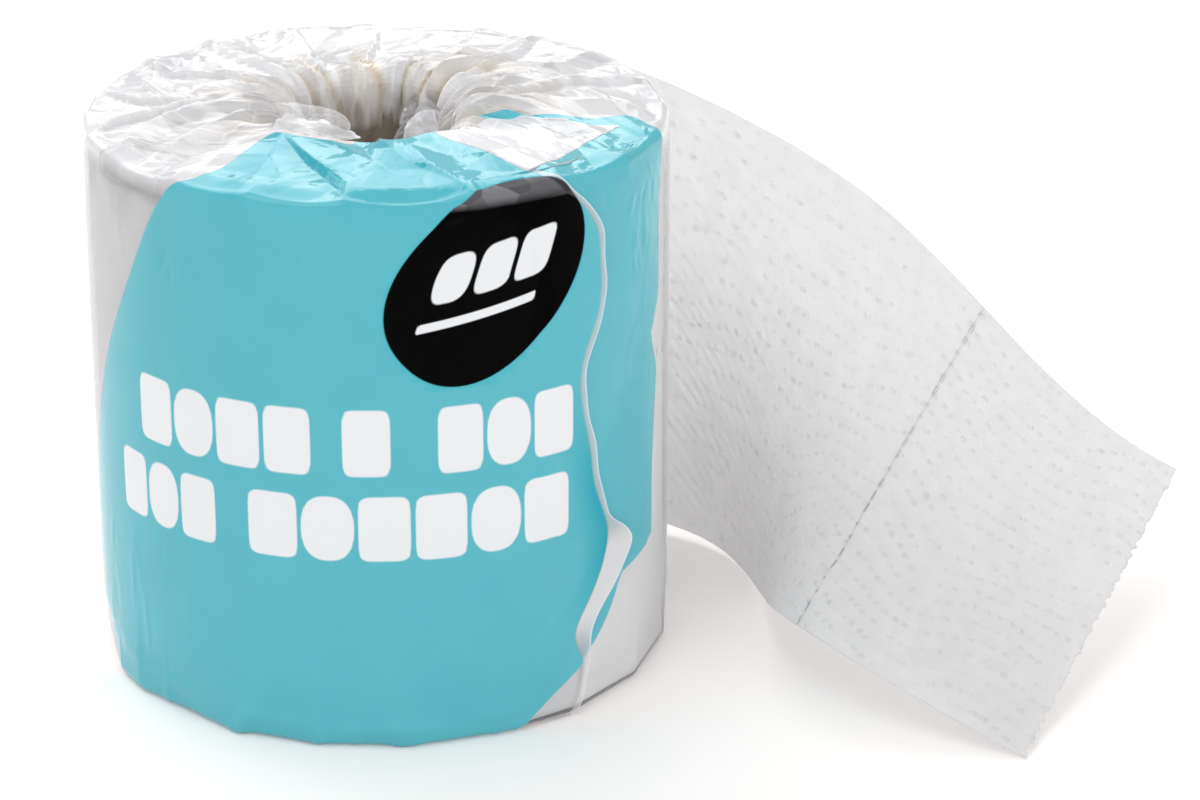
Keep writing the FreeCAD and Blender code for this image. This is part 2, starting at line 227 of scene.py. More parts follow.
def foldAlong(x, y, path, height, left, right):
    # A fold along a line on the plan: a tent that grows over the line's first fifth, with one slope left
    # wide and the other right wide. Returns the rise, the signed distance from the line and the place along
    # it from 0 to 1.
    path = np.array(path, float)
    steps = np.hypot(*np.diff(path, axis=0).T)
    done = np.concatenate([[0], np.cumsum(steps)])
    aside, place = np.full(x.shape, 99.0), np.zeros(x.shape)
    for start, end, before, long in zip(path, path[1:], done, steps):
        dx, dy = (end - start) / long
        along = np.clip((x - start[0]) * dx + (y - start[1]) * dy, 0, long)
        gap = np.hypot(x - start[0] - along * dx, y - start[1] - along * dy)
        side = np.where((x - start[0]) * dy - (y - start[1]) * dx < 0, -1, 1)
        nearer = gap < np.abs(aside)
        aside = np.where(nearer, gap * side, aside)
        place = np.where(nearer, (before + along) / done[-1], place)
    reach = np.where(aside < 0, left, right)
    fade = np.clip(place * 5, 0, 1) * np.clip(0.25 + (1 - place) * 5, 0, 1)
    return height * fade * np.clip(1 - np.abs(aside) / reach, 0, 1), aside, place


def creaseAlong(x, y, start, end, height, width):
    # A short crumple: a tent of one width all along, faded at both its ends
    dx, dy = end[0] - start[0], end[1] - start[1]
    long = math.hypot(dx, dy)
    along = ((x - start[0]) * dx + (y - start[1]) * dy) / long
    aside = ((x - start[0]) * dy - (y - start[1]) * dx) / long
    fade = np.clip(np.minimum(along, long - along) / (0.35 * long), 0, 1)
    return height * fade * np.clip(1 - np.abs(aside) / width, 0, 1)


# the folds that stand out on the top: a line on the plan from the shoulder to the hole, the height, the
# widths of its left and right slopes, and the side on which shade is painted as deeper ink
mainFolds = [
    (((-21, 51), (-17, 40), (-13, 28), (-11, 20)), 1.3, 1.0, 6.0, 0),
    (((-39, 41), (-34, 35), (-29, 27), (-18, 14)), 1.6, 6.0, 1.0, 0),
    (((-48, 28), (-42, 21), (-36, 17), (-28, 14), (-21, 11)), 1.5, 5.0, 0.9, 0),
    (((-52, 12), (-49, 8), (-42, 1), (-36, -1), (-24, 1)), 1.4, 5.0, 1.0, 0),
    (((-51, -14), (-43, -7), (-34, -4), (-22, -3)), 1.7, 4.0, 1.1, 0),
    (((-45, -26), (-41, -14), (-38, -8), (-32, -6), (-22, -6)), 1.5, 1.0, 5.0, 0),
    (((-36, -27), (-29, -16), (-22, -11)), 1.5, 1.2, 6.0, 0),
    (((-31, -42), (-26, -30), (-21, -23), (-16, -17)), 1.6, 1.2, 5.5, 0),
    (((-23, -52), (-19, -41), (-16, -32), (-16, -23)), 1.5, 1.0, 4.5, -1),
    (((-3, -50), (-4, -42), (-10, -33), (-16, -22)), 2.0, 8.0, 1.4, -1),
    (((-5, -20), (1, -20), (4, -28), (7, -33)), 1.4, 3.5, 1.0, 1),
    (((20, -51), (14, -41), (10, -34), (1, -33), (-8, -25)), 1.6, 1.0, 6.0, -1),
    (((17, -31), (11, -20)), 0.8, 0.8, 3.0, 0),
    (((30, -45), (21, -29)), 1.0, 0.8, 4.0, -1),
    (((42, 33), (33, 22), (26, 13), (21, 6)), 1.6, 5.0, 1.0, 0),
    (((50, 17), (41, 12), (34, 9), (24, 4)), 1.5, 1.0, 5.0, 0),
    (((18, 50), (16, 36), (14, 24), (11, 18)), 1.7, 6.0, 1.0, 0),
    (((29, 43), (26, 32), (20, 21), (15, 14)), 1.5, 1.0, 5.0, 0),
    (((52, -3), (42, -1), (32, 0), (22, -2)), 1.3, 5.0, 1.0, 0),
    (((-3, 47), (-2, 38), (-3, 28), (-2, 20)), 0.9, 1.0, 6.0, 0),
]
# the shoulder's corners, where a fold pinches it; between two of them the film is stretched straight
shoulderCorners = (-164, -151, -130, -112, -94, -68, -50, -31, -14, 4, 19, 31, 41, 56,
                   70, 95, 109, 130, 146, 158, 170, 182)
# where the tucked foot has its corners, in degrees; it is straight between them
footCorners = (-155, -146, -120, -101, -82, -63, -47, -27, -8, 10, 31, 52, 75, 98, 118, 140, 160, 180)
# gathers at the foot: place across at the bottom and at the top of each, its height and half width
footFolds = [(-46, -43, 0.3, 2.0), (-28.5, -22, 0.9, 2.4), (-10, -12, 0.25, 2.2), (8, 1, 0.5, 4.0),
             (25, 23, 0.25, 2.5)]
# low swells of slack film over the foot: across, up, half length and height
footSwells = [(-18, 4.2, 7, 0.45), (3, 3.6, 11, 0.5), (-40, 5.5, 4, 0.35), (24, 4.5, 5, 0.3),
              (-54, 8, 5, 0.4)]
# how many of each go round the hole, how tall they are from it outwards and how high they rise, and last how
# far the painted shade, the painted highlight line on the crest and the doubled film reach beside a main fold
gather = {
    "big": 21, "bigTall": 13.0, "bigRise": 0.85, "small": 47, "smallTall": 6.5, "smallRise": 0.30,
    "pleats": 27, "pleatRise": 1.05, "swirl": -0.30, "crownRise": 1.1, "rearRise": 0.9, "sunk": 0.1,
    "shadeWide": 5, "glintLineWide": 0.35, "layerWide": 3.2,
}


# The front of the top, where the film lies in a few large flat faces: corners on the plan with their
# height, and the creases between them. Where two corners lie close together, one layer's edge stands over
# the next.
frontNet = {
    "corners": {
        "a1": (-38, -40, 0.2), "a2": (-31, -45, 0.1), "a3": (-22, -50, 0.4), "a4": (-12, -53.5, 0.0),
        "a5": (-3, -54.5, 0.4), "a6": (6, -54.5, 0.1), "a7": (15, -53, 0.2), "a8": (20.5, -51, 1.2),
        "a9": (24, -49.5, 0.0), "a10": (29, -46.5, 0.7), "a11": (37, -40.5, 0.0), "b1": (-31, -30, 1.1),
        "b2": (-24, -38, 0.6), "b3": (-17, -33, 1.9), "b4": (-14, -44, 0.9), "b5": (-10.6, -34.5, 1.0),
        "b6": (-4.0, -47.0, 0.1), "b7": (-19, -18, 1.5), "c1": (-15.5, -22, 2.2), "c2": (-9.4, -35, 2.0),
        "c3": (-2.6, -47, 1.3), "c4": (-5.5, -29.5, 2.2), "c5": (1.5, -36.6, 2.0), "c6": (8, -36.4, 1.6),
        "c7": (10.3, -38.6, 1.0), "c8": (2.6, -40, 1.4), "c9": (-1, -43.5, 1.5), "d1": (1.8, -35.0, 0.7),
        "d2": (8, -34.6, 0.6), "d3": (3, -29, 1.5), "d4": (-8, -21, 1.9), "d5": (3, -20.5, 1.7),
        "d6": (-1, -27, 0.9), "e1": (11.3, -37.4, 1.7), "e2": (7.7, -27, 1.7), "e3": (11.2, -22, 2.1),
        "e4": (15, -25.5, 1.6), "e5": (22, -32, 1.7), "e6": (17, -39, 1.1), "e7": (23.5, -39, 0.5),
        "e8": (29, -38.5, 0.4), "e9": (21.5, -46, 0.7), "e10": (14, -31.5, 1.2), "f1": (18, -13, 1.6),
        "f2": (30, -25, 1.5), "f3": (40, -31, 0.6),
    },
    "creases": [
        "a3 b4", "b4 b5", "b4 b6", "b2 b3", "b3 b4", "c1 c2", "c2 c3", "b5 b6", "c3 a5", "b6 a5", "c2 c4",
        "c4 c5", "c5 c6", "c6 c7", "d1 d2", "c4 d1", "c8 c9", "c8 c7", "c9 a6", "c9 c2", "c7 a7", "e1 a8",
        "d2 e1", "c7 a8", "e1 e2", "e2 e3", "e4 e10", "e10 e6", "e5 e7", "e7 e9", "e7 e8", "e6 a8", "e5 e6",
        "e9 a10", "c1 b3", "d6 d3", "d6 c4", "d3 e2", "e9 a9", "e8 a10",
    ],
    "bearings": (-138, -130, -50, -42), "radii": (22, 25, 54, 55.5),
}


def netTriangles():
    # the net's faces as rows of three corners, each x, y and height
    names = list(frontNet["corners"])
    corners = np.array([frontNet["corners"][name] for name in names], float)
    edges = [tuple(names.index(name) for name in crease.split()) for crease in frontNet["creases"]]
    plan = [Vector(corner[:2]) for corner in corners]
    found, _, faces, origins, _, _ = delaunay_2d_cdt(plan, edges, [], 0, 1e-4)
    height = [corners[origin[0], 2] if origin else 1.0 for origin in origins]
    spots = np.array([(place.x, place.y, tall) for place, tall in zip(found, height)])
    return spots[np.array([list(face) for face in faces])]


netFaces = netTriangles()


def netRise(x, y, angle, radius):
    # the net's height over each point, from its face's three corners, and how far the net holds there
    rise, inside = np.zeros(x.shape), np.zeros(x.shape, bool)
    for first, second, third in netFaces:
        across, along = second - first, third - first
        size = across[0] * along[1] - across[1] * along[0]
        s = ((x - first[0]) * along[1] - (y - first[1]) * along[0]) / size
        t = ((y - first[1]) * across[0] - (x - first[0]) * across[1]) / size
        here = (s >= -1e-6) & (t >= -1e-6) & (s + t <= 1 + 1e-6)
        rise = np.where(here, first[2] + s * across[2] + t * along[2], rise)
        inside = inside | here
    bearing = np.degrees(angle)
    low, lowEnd, high, highEnd = frontNet["bearings"]
    near, nearEnd, far, farEnd = frontNet["radii"]
    held = riseAndFall(low, lowEnd, high, highEnd, bearing)
    held = held * riseAndFall(near, nearEnd, far, farEnd, radius)
    return rise, held * inside


def zigzag(p):
    # a triangular wave from -1 to 1, one crest for each whole number
    return 1 - 2 * np.abs(2 * (p - np.floor(p)) - 1)


def hashed(whole, seed):
    # one steady random number from 0 to 1 for each whole number
    return np.random.default_rng(seed).random(4096)[np.mod(whole, 4096)]


def facets(u, w, cells, seed):
    # random heights on a lattice of triangles, joined by flat faces; it repeats after so many cells
    table = 2 * np.random.default_rng(seed).random((cells, lattice)) - 1
    i, j = np.floor(u).astype(int), np.floor(w).astype(int)
    fu, fw = u - i, w - j
    i, j, nextI, nextJ = i % cells, j % lattice, (i + 1) % cells, (j + 1) % lattice
    here, right, above, both = table[i, j], table[nextI, j], table[i, nextJ], table[nextI, nextJ]
    low = here * (1 - fu - fw) + right * fu + above * fw
    high = both * (fu + fw - 1) + above * (1 - fu) + right * (1 - fw)
    return np.where(fu + fw < 1, low, high)


def topFolds(angle, v):
    # The gathered film is flat faces between sharp creases: two sizes of lattice round the hole, pleats
    # that grow towards it, and the main folds. Also returns the layers lying over each other, the painted
    # highlight lines on the crests, the painted shade in the valleys between the pleats and the painted
    # shade, as deeper ink, beside some main folds.
    x, y, radius = fanOut(angle, v)
    inward = 1 - smoothStep(22, 54, radius)
    turn = angle / (2 * math.pi) + gather["swirl"] / 6.28 * inward
    bend = facets(turn * 9, radius / 17, 9, 70)
    big, small = gather["big"] * turn + 0.45 * bend, gather["small"] * turn + bend
    bigUp = radius / gather["bigTall"] + 0.5 * facets(turn * 12, radius / 21, 12, 71)
    smallUp = radius / gather["smallTall"] + 0.6 * facets(turn * 21, radius / 11, 21, 72)
    rise = gather["bigRise"] * facets(big, bigUp, gather["big"], 73)
    rise = rise + gather["smallRise"] * facets(small, smallUp, gather["small"], 74)
    phase = gather["pleats"] * turn + 0.55 * facets(turn * 15, radius / 12, 15, 75)
    phase = phase + 1.1 * facets(turn * 7, radius / 30, 7, 78)
    front = 1 - 0.92 * np.exp(-((np.degrees(angle) + 95) / 45) ** 4)
    near = 1 - smoothStep(21, 37, radius)
    uneven = 0.4 + hashed(np.floor(phase).astype(int), 76)
    pleats = gather["pleatRise"] * near ** 1.3 * front * uneven * zigzag(phase)
    layers, glintLine, shadeAndDoubledInk, tents = np.zeros_like(x), np.zeros_like(x), np.zeros_like(x), np.zeros_like(x)
    for path, height, left, right, shade in mainFolds:
        tent, aside, place = foldAlong(x, y, path, height, left, right)
        tents = np.maximum(tents, tent)
        grown = np.clip(place * 5, 0, 1)
        steep = aside if right < left else -aside
        layers = np.maximum(layers, (steep > 0) * (steep < gather["layerWide"]) * grown)
        # painted highlight: a thin white line along each main fold's crest
        glintLine = np.maximum(glintLine, np.clip(1 - np.abs(aside) / gather["glintLineWide"], 0, 1) * grown)
        # painted shade: the ink is made deeper on the shaded side of some folds
        if shade:
            shaded = (aside * shade > 0) * np.clip(1.1 - np.abs(aside) / gather["shadeWide"], 0, 1)
            shadeAndDoubledInk = np.maximum(shadeAndDoubledInk, shaded * grown)
    cell = np.floor(big).astype(int) * 31 + np.floor(bigUp).astype(int) * 7 + np.floor(small).astype(int) * 13
    layers = np.clip(0.4 * layers + 0.6 * hashed(cell, 91), 0, 1)
    # painted shade: a beige tone in the valleys between the pleats, and near the hole, in random cells, a
    # warm tint for light thrown back by the board
    valleyShade = np.clip(-zigzag(phase) - 0.3, 0, 1) * 1.4 * near + 0.5 * hashed(cell + 5, 92) * inward
    crown = gather["crownRise"] * (1 - smoothStep(24, 52, radius)) - 1.2 * near * (1 - front)
    crown = crown + gather["rearRise"] * smoothStep(0.1, 0.8, np.sin(angle)) * smoothStep(40, 50, radius)
    gathered = rise * (1 - 0.6 * near * (1 - front)) + pleats + tents + crown - gather["sunk"]
    net, held = netRise(x, y, angle, radius)
    gathered = gathered * (1 - held) + (net + 0.12 * rise) * held
    return gathered, layers, glintLine, valleyShade, shadeAndDoubledInk, turn, radius, held


def cornerSag(angle, bends):
    # how far the straight line between two corners lies inside the circle: r (1 - cos h / cos a)
    degrees = np.mod(np.degrees(angle) + 178, 360) - 178
    corners = np.array(bends + (bends[0] + 360,), float)
    degrees = np.where(degrees < corners[0], degrees + 360, degrees)
    i = np.clip(np.searchsorted(corners, degrees) - 1, 0, len(corners) - 2)
    middle, half = (corners[i] + corners[i + 1]) / 2, (corners[i + 1] - corners[i]) / 2
    return filmRadius * (1 - np.cos(np.radians(half)) / np.cos(np.radians(degrees - middle)))


def scatterCreases(x, y, box, count, seed, lengths, heights, widths, spread):
    # Short creases at random places in a box, half up and half down, within the given spread of upright
    chance = np.random.default_rng(seed)
    total = np.zeros_like(x)
    for number in range(count):
        at = chance.uniform(box[0], box[1]), chance.uniform(box[2], box[3])
        towards = math.pi / 2 + chance.uniform(-spread, spread)
        half = chance.uniform(*lengths) / 2
        height, width = chance.uniform(*heights) * (1 if number % 2 else -1), chance.uniform(*widths)
        dx, dy = half * math.cos(towards), half * math.sin(towards)
        near = (np.abs(x - at[0]) < half + width) & (np.abs(y - at[1]) < half + width)
        start, end = (at[0] - dx, at[1] - dy), (at[0] + dx, at[1] + dy)
        total[near] += creaseAlong(x[near], y[near], start, end, height, width)
    return total


# scattered creases: box across and up, how many, seed, lengths, heights, half widths and lean off upright
topCreases = ((-57, 57, -57, 57), 190, 21, (4, 10), (0.10, 0.28), (0.5, 1.4), math.pi / 2)
footCreases = ((-170, 170, -3, 9), 60, 39, (3, 9), (0.05, 0.22), (0.6, 1.6), 0.5)
sideCreases = [
    ((56, 74, 50, 104), 70, 35, (3, 9), (0.10, 0.32), (0.4, 1.0), 0.6),
    ((-66, -40, 4, 34), 22, 36, (5, 16), (0.06, 0.20), (0.6, 1.5), 0.4),
    ((-60, 60, 86, 104), 46, 37, (3, 9), (0.10, 0.35), (0.5, 1.3), 0.7),
]
# the side's and the foot's swells, and how milky the film is below the shoulder and how far down
drawn = {"swell": 0.16, "swellLong": 17.0, "tuck": 0.18, "sunk": 0.1, "milkySide": 0.16, "hang": 1.5,
         "hangMore": 11}


def filmRelief(angle, v):
    # The wrap's rise off its plain section, in millimetres, with its maps
    arc = filmRadius * angle
    rise, layers, glintLine, valleyShade, shadeAndDoubledInk, turn, radius, held = topFolds(angle, v)
    onTop = smoothStep(shoulderStart - 1, topStart + 3, v) * (1 - smoothStep(rimEnd, wrapEnd, v) * 0.35)
    x, y, _ = fanOut(angle, v)
    crumple = scatterCreases(x, y, *topCreases)
    relief = onTop * (rise + crumple * (1 - 0.75 * held))
    atShoulder = riseAndFall(98.5, shoulderStart + 1, topStart, topStart + 4, v)
    relief = relief - cornerSag(angle, shoulderCorners) * atShoulder
    # the side is drawn tight, with long shallow swells
    onSide = riseAndFall(2, 10, shoulderStart - 8, shoulderStart, v)
    across = arc + filmRadius * math.pi / 2
    tight = drawn["swell"] * softNoise(arc, v * 0.5, 31, drawn["swellLong"])
    for row in sideCreases:
        tight = tight + scatterCreases(across, v, *row)
    relief = relief + onSide * tight
    # at the foot it is tucked under in short pleats
    foot = riseAndFall(-9, -1, 1.5, 11, v)
    tucks = facets(angle * 24 / (2 * math.pi), v / 7, 24, 38)
    for bottom, top, height, width in footFolds:
        gathered = creaseAlong(across, v, (bottom, -4), (top, 9), height, width)
        relief = relief + smoothStep(-6, -1, v) * gathered
    for place, up, half, height in footSwells:
        relief = relief + height * np.exp(-((across - place) / half) ** 4 - ((v - up) / 1.3) ** 2)
    puckers = scatterCreases(across, v, *footCreases)
    relief = relief + foot * (drawn["tuck"] * tucks - drawn["sunk"] + puckers)
    ragged = facets(angle * 60 / (2 * math.pi), v / 40, 60, 34)
    hang = drawn["hang"] + drawn["hangMore"] * (0.5 + 0.5 * ragged) ** 2
    above = v - shoulderStart
    milky = drawn["milkySide"] + 0.84 * smoothStep(-3, 1.5, above)
    milky = smoothStep(-0.8, 0.8, above + hang) * milky
    bendMask = softNoise(radius * np.cos(angle), radius * np.sin(angle), 95, 14.0)
    # in the hole the milkiness ends at another depth in each pleat, and goes on down at the left and right
    degrees = np.degrees(angle)
    aside = 1 - smoothStep(28, 42, np.abs(np.mod(degrees + 360, 360) - 90))
    depth = rimEnd + 14 - (10 - 6 * hashed(np.floor(gather["pleats"] * 2 * turn).astype(int), 93)) * aside
    milky = milky * (1 - 0.9 * smoothStep(depth - 1.5, depth + 1.5, v))
    milky = milky * (1 + 0.5 * smoothStep(rimStart, rimEnd, v))
    return relief, {
        "layers": layers * milky, "glintLine": glintLine * onTop, "valleyShade": valleyShade * onTop, "milky": milky,
        "shadeAndDoubledInk": shadeAndDoubledInk * onTop, "fanU": turn * 25, "fanW": radius / 12,
        "crumpled": onTop * (0.35 + 0.65 * smoothStep(-0.5, 0.5, bendMask)) * (1 - 0.55 * held),
    }


def slitParting(v):
    # half the slit's width in degrees: open up the side, and closed at the shoulder and the base
    return wrap["slitHalf"] * riseAndFall(0.5, 3.0, shoulderStart - 3, shoulderStart + 1, v)


# how far the film hangs over the hole: its lean and its folds, everywhere and more at the right and the left
hole = {
    "lean": 0.3, "leanRight": 3.2, "fold": 0.8, "foldRight": 4.4, "foldLeft": 2.6, "folds": 17,
    "right": 8, "rightWide": 50, "left": 165, "leftWide": 40, "lowest": -0.2, "highest": 3.4,
}


def overhang(angle, v):
    # how far the gathered film hangs in over the hole: most at the right, and in deep pleats there
    degrees = np.degrees(angle)
    right = np.exp(-((degrees - hole["right"]) / hole["rightWide"]) ** 2)
    left = np.exp(-((np.mod(degrees, 360) - hole["left"]) / hole["leftWide"]) ** 2)
    phase = hole["folds"] * angle / (2 * math.pi) + 1.3 * np.sin(3 * angle + 1) + 0.9 * np.sin(5 * angle)
    phase = phase + 0.05 * (v - rimEnd)
    fold = (0.5 + 0.5 * zigzag(phase)) * (0.35 + 0.9 * hashed(np.floor(phase).astype(int), 94))
    inHole = riseAndFall(rimStart, rimEnd + 3, rimEnd + 8, wrapEnd, v)
    lean = riseAndFall(rimStart - 9, rimEnd, rimEnd + 2, rimEnd + 13, v)
    folded = hole["fold"] + hole["foldRight"] * right + hole["foldLeft"] * left
    return (hole["lean"] + hole["leanRight"] * right) * lean + folded * fold * inHole


def filmPoint(angle, v, lift=0.0):
    # a point on the wrap: its plain section turned about the axis, moved out along its own normal
    r, z, outR, outZ, _, _ = wrapProfile(v)
    relief, maps = filmRelief(angle, v)
    off = relief + lift
    inHole = smoothStep(rimStart, rimEnd + 2, v)
    off = off * (1 - inHole) + inHole * np.clip(off, hole["lowest"], hole["highest"])
    r = r + off * outR - overhang(angle, v)
    r = r - cornerSag(angle, footCorners) * riseAndFall(-14, -1, 0, 14, v)
    z = z + off * outZ
    z = np.clip(z, wrap["lowest"], filmTop + wrap["mostRise"])
    return np.stack([r * np.cos(angle), r * np.sin(angle), z], axis=-1), maps


# The print is set out on the film laid flat, in millimetres: across from the middle of the front, and up.
printed = {
    "leftUp": [-6, 0, 12, 32, 52, 62, 75, 89.5, 100, 107, 125, 140],
    "leftAcross": [-52, -60, -72, -74, -66.2, -61.6, -54.2, -45.8, -39.4, -34, -34.6, -37],
    "rightUp": [-8, 1, 3.7, 6.4, 10.4, 16, 40],
    "rightAcross": [18, 29, 32.2, 35.9, 41.8, 48, 60],
    "innerUp": [10, 15.1, 18.5, 22.7, 24.4, 24.8, 26.3, 41, 60, 68, 73.5, 91, 103, 110, 134, 145],
    "innerAcross": [40, 41.1, 43.6, 46.9, 52.2, 58.9, 65.6, 65.7, 67.8, 64.2, 69, 68.5, 72, 77.9, 67, 66],
    "footTop": 24,   # the right line bounds the print up to this height
    "patchCentre": (22.9, 88.4), "patchLong": 21.3, "patchShort": 14.9, "patchTilt": 42.0,
    # rows of plain blocks: height up the film, half height, and each group's start, end and count
    "rows": [(59.8, 6.3, [(-47.6, -9.4, 4), (-4.6, 4.8, 1), (12.3, 39.7, 3)]),
             (43.4, 6.2, [(-55.0, -28.5, 3), (-22.5, 38.7, 6)])],
    "markBlocks": 3, "markWide": 7.4, "markTall": 4.2, "markSlant": 0.22,
}


def inkEdges(across, up):
    # Signed distances in millimetres to each printed outline, positive inside it: the lesser of the
    # distances to its sides, and for the patch (1 - (|x/a|^p + |y/b|^p)^(1/p)) b
    left = splineThrough(printed["leftUp"], printed["leftAcross"], np.clip(up, -6, 140))
    right = splineThrough(printed["rightUp"], printed["rightAcross"], np.clip(up, -8, 40))
    # the inner layer's edge bends sharply: straight lines between its points, averaged over 2.4 mm
    shifts = (-1.2, -0.6, 0, 0.6, 1.2)
    knots = printed["innerUp"], printed["innerAcross"]
    inner = sum(np.interp(up + shift, *knots) for shift in shifts) / len(shifts)
    outerField = np.minimum(across - left, np.where(up < printed["footTop"], right, 46) - across)
    innerField = np.minimum(np.minimum(inner - across, across - 30), up - 13)
    field = np.maximum(outerField, innerField)
    tilt = math.radians(printed["patchTilt"])
    px, py = across - printed["patchCentre"][0], up - printed["patchCentre"][1]
    long = (px * math.cos(tilt) + py * math.sin(tilt)) / printed["patchLong"]
    short = (-px * math.sin(tilt) + py * math.cos(tilt)) / printed["patchShort"]
    patch = (1 - (np.abs(long) ** 2.25 + np.abs(short) ** 2.25) ** (1 / 2.25)) * printed["patchShort"]
    return field, patch


def softBlock(x, y, halfWide, halfTall, power):
    # signed distance to a block with soft corners: |x/a|^p + |y/b|^p < 1
    reach = (np.abs(x / halfWide) ** power + np.abs(y / halfTall) ** power) ** (1 / power)
    return (1 - reach) * min(halfWide, halfTall)


def rowShapes(across, up):
    # Two rows of plain blocks, every third of them rounder, and a mark of three slanted blocks over a bar
    best = np.full(across.shape, -9.0)
    for height, half, groups in printed["rows"]:
        for start, end, count in groups:
            pitch = (end - start) / count
            cell = np.clip(np.floor((across - start) / pitch), 0, count - 1)
            x = across - start - (cell + 0.5) * pitch
            square = softBlock(x, up - height, pitch / 2 - 0.45, half, 7)
            rounder = softBlock(x, up - height, pitch / 2 - 0.3, half, 2.5)
            best = np.maximum(best, np.where(cell % 3 == 1, rounder, square))
    x, y = across - printed["patchCentre"][0], up - printed["patchCentre"][1]
    x, y = x - printed["markSlant"] * y - 0.12 * y, y - 0.16 * x - 2.6
    for place in range(printed["markBlocks"]):
        middle = (place - (printed["markBlocks"] - 1) / 2) * printed["markWide"]
        block = softBlock(x - middle, y, printed["markWide"] / 2 - 0.5, printed["markTall"], 3.0 + place)
        best = np.maximum(best, block)
    return np.maximum(best, np.minimum(10.5 - np.abs(x + 0.6), 0.8 - np.abs(y + 8)))


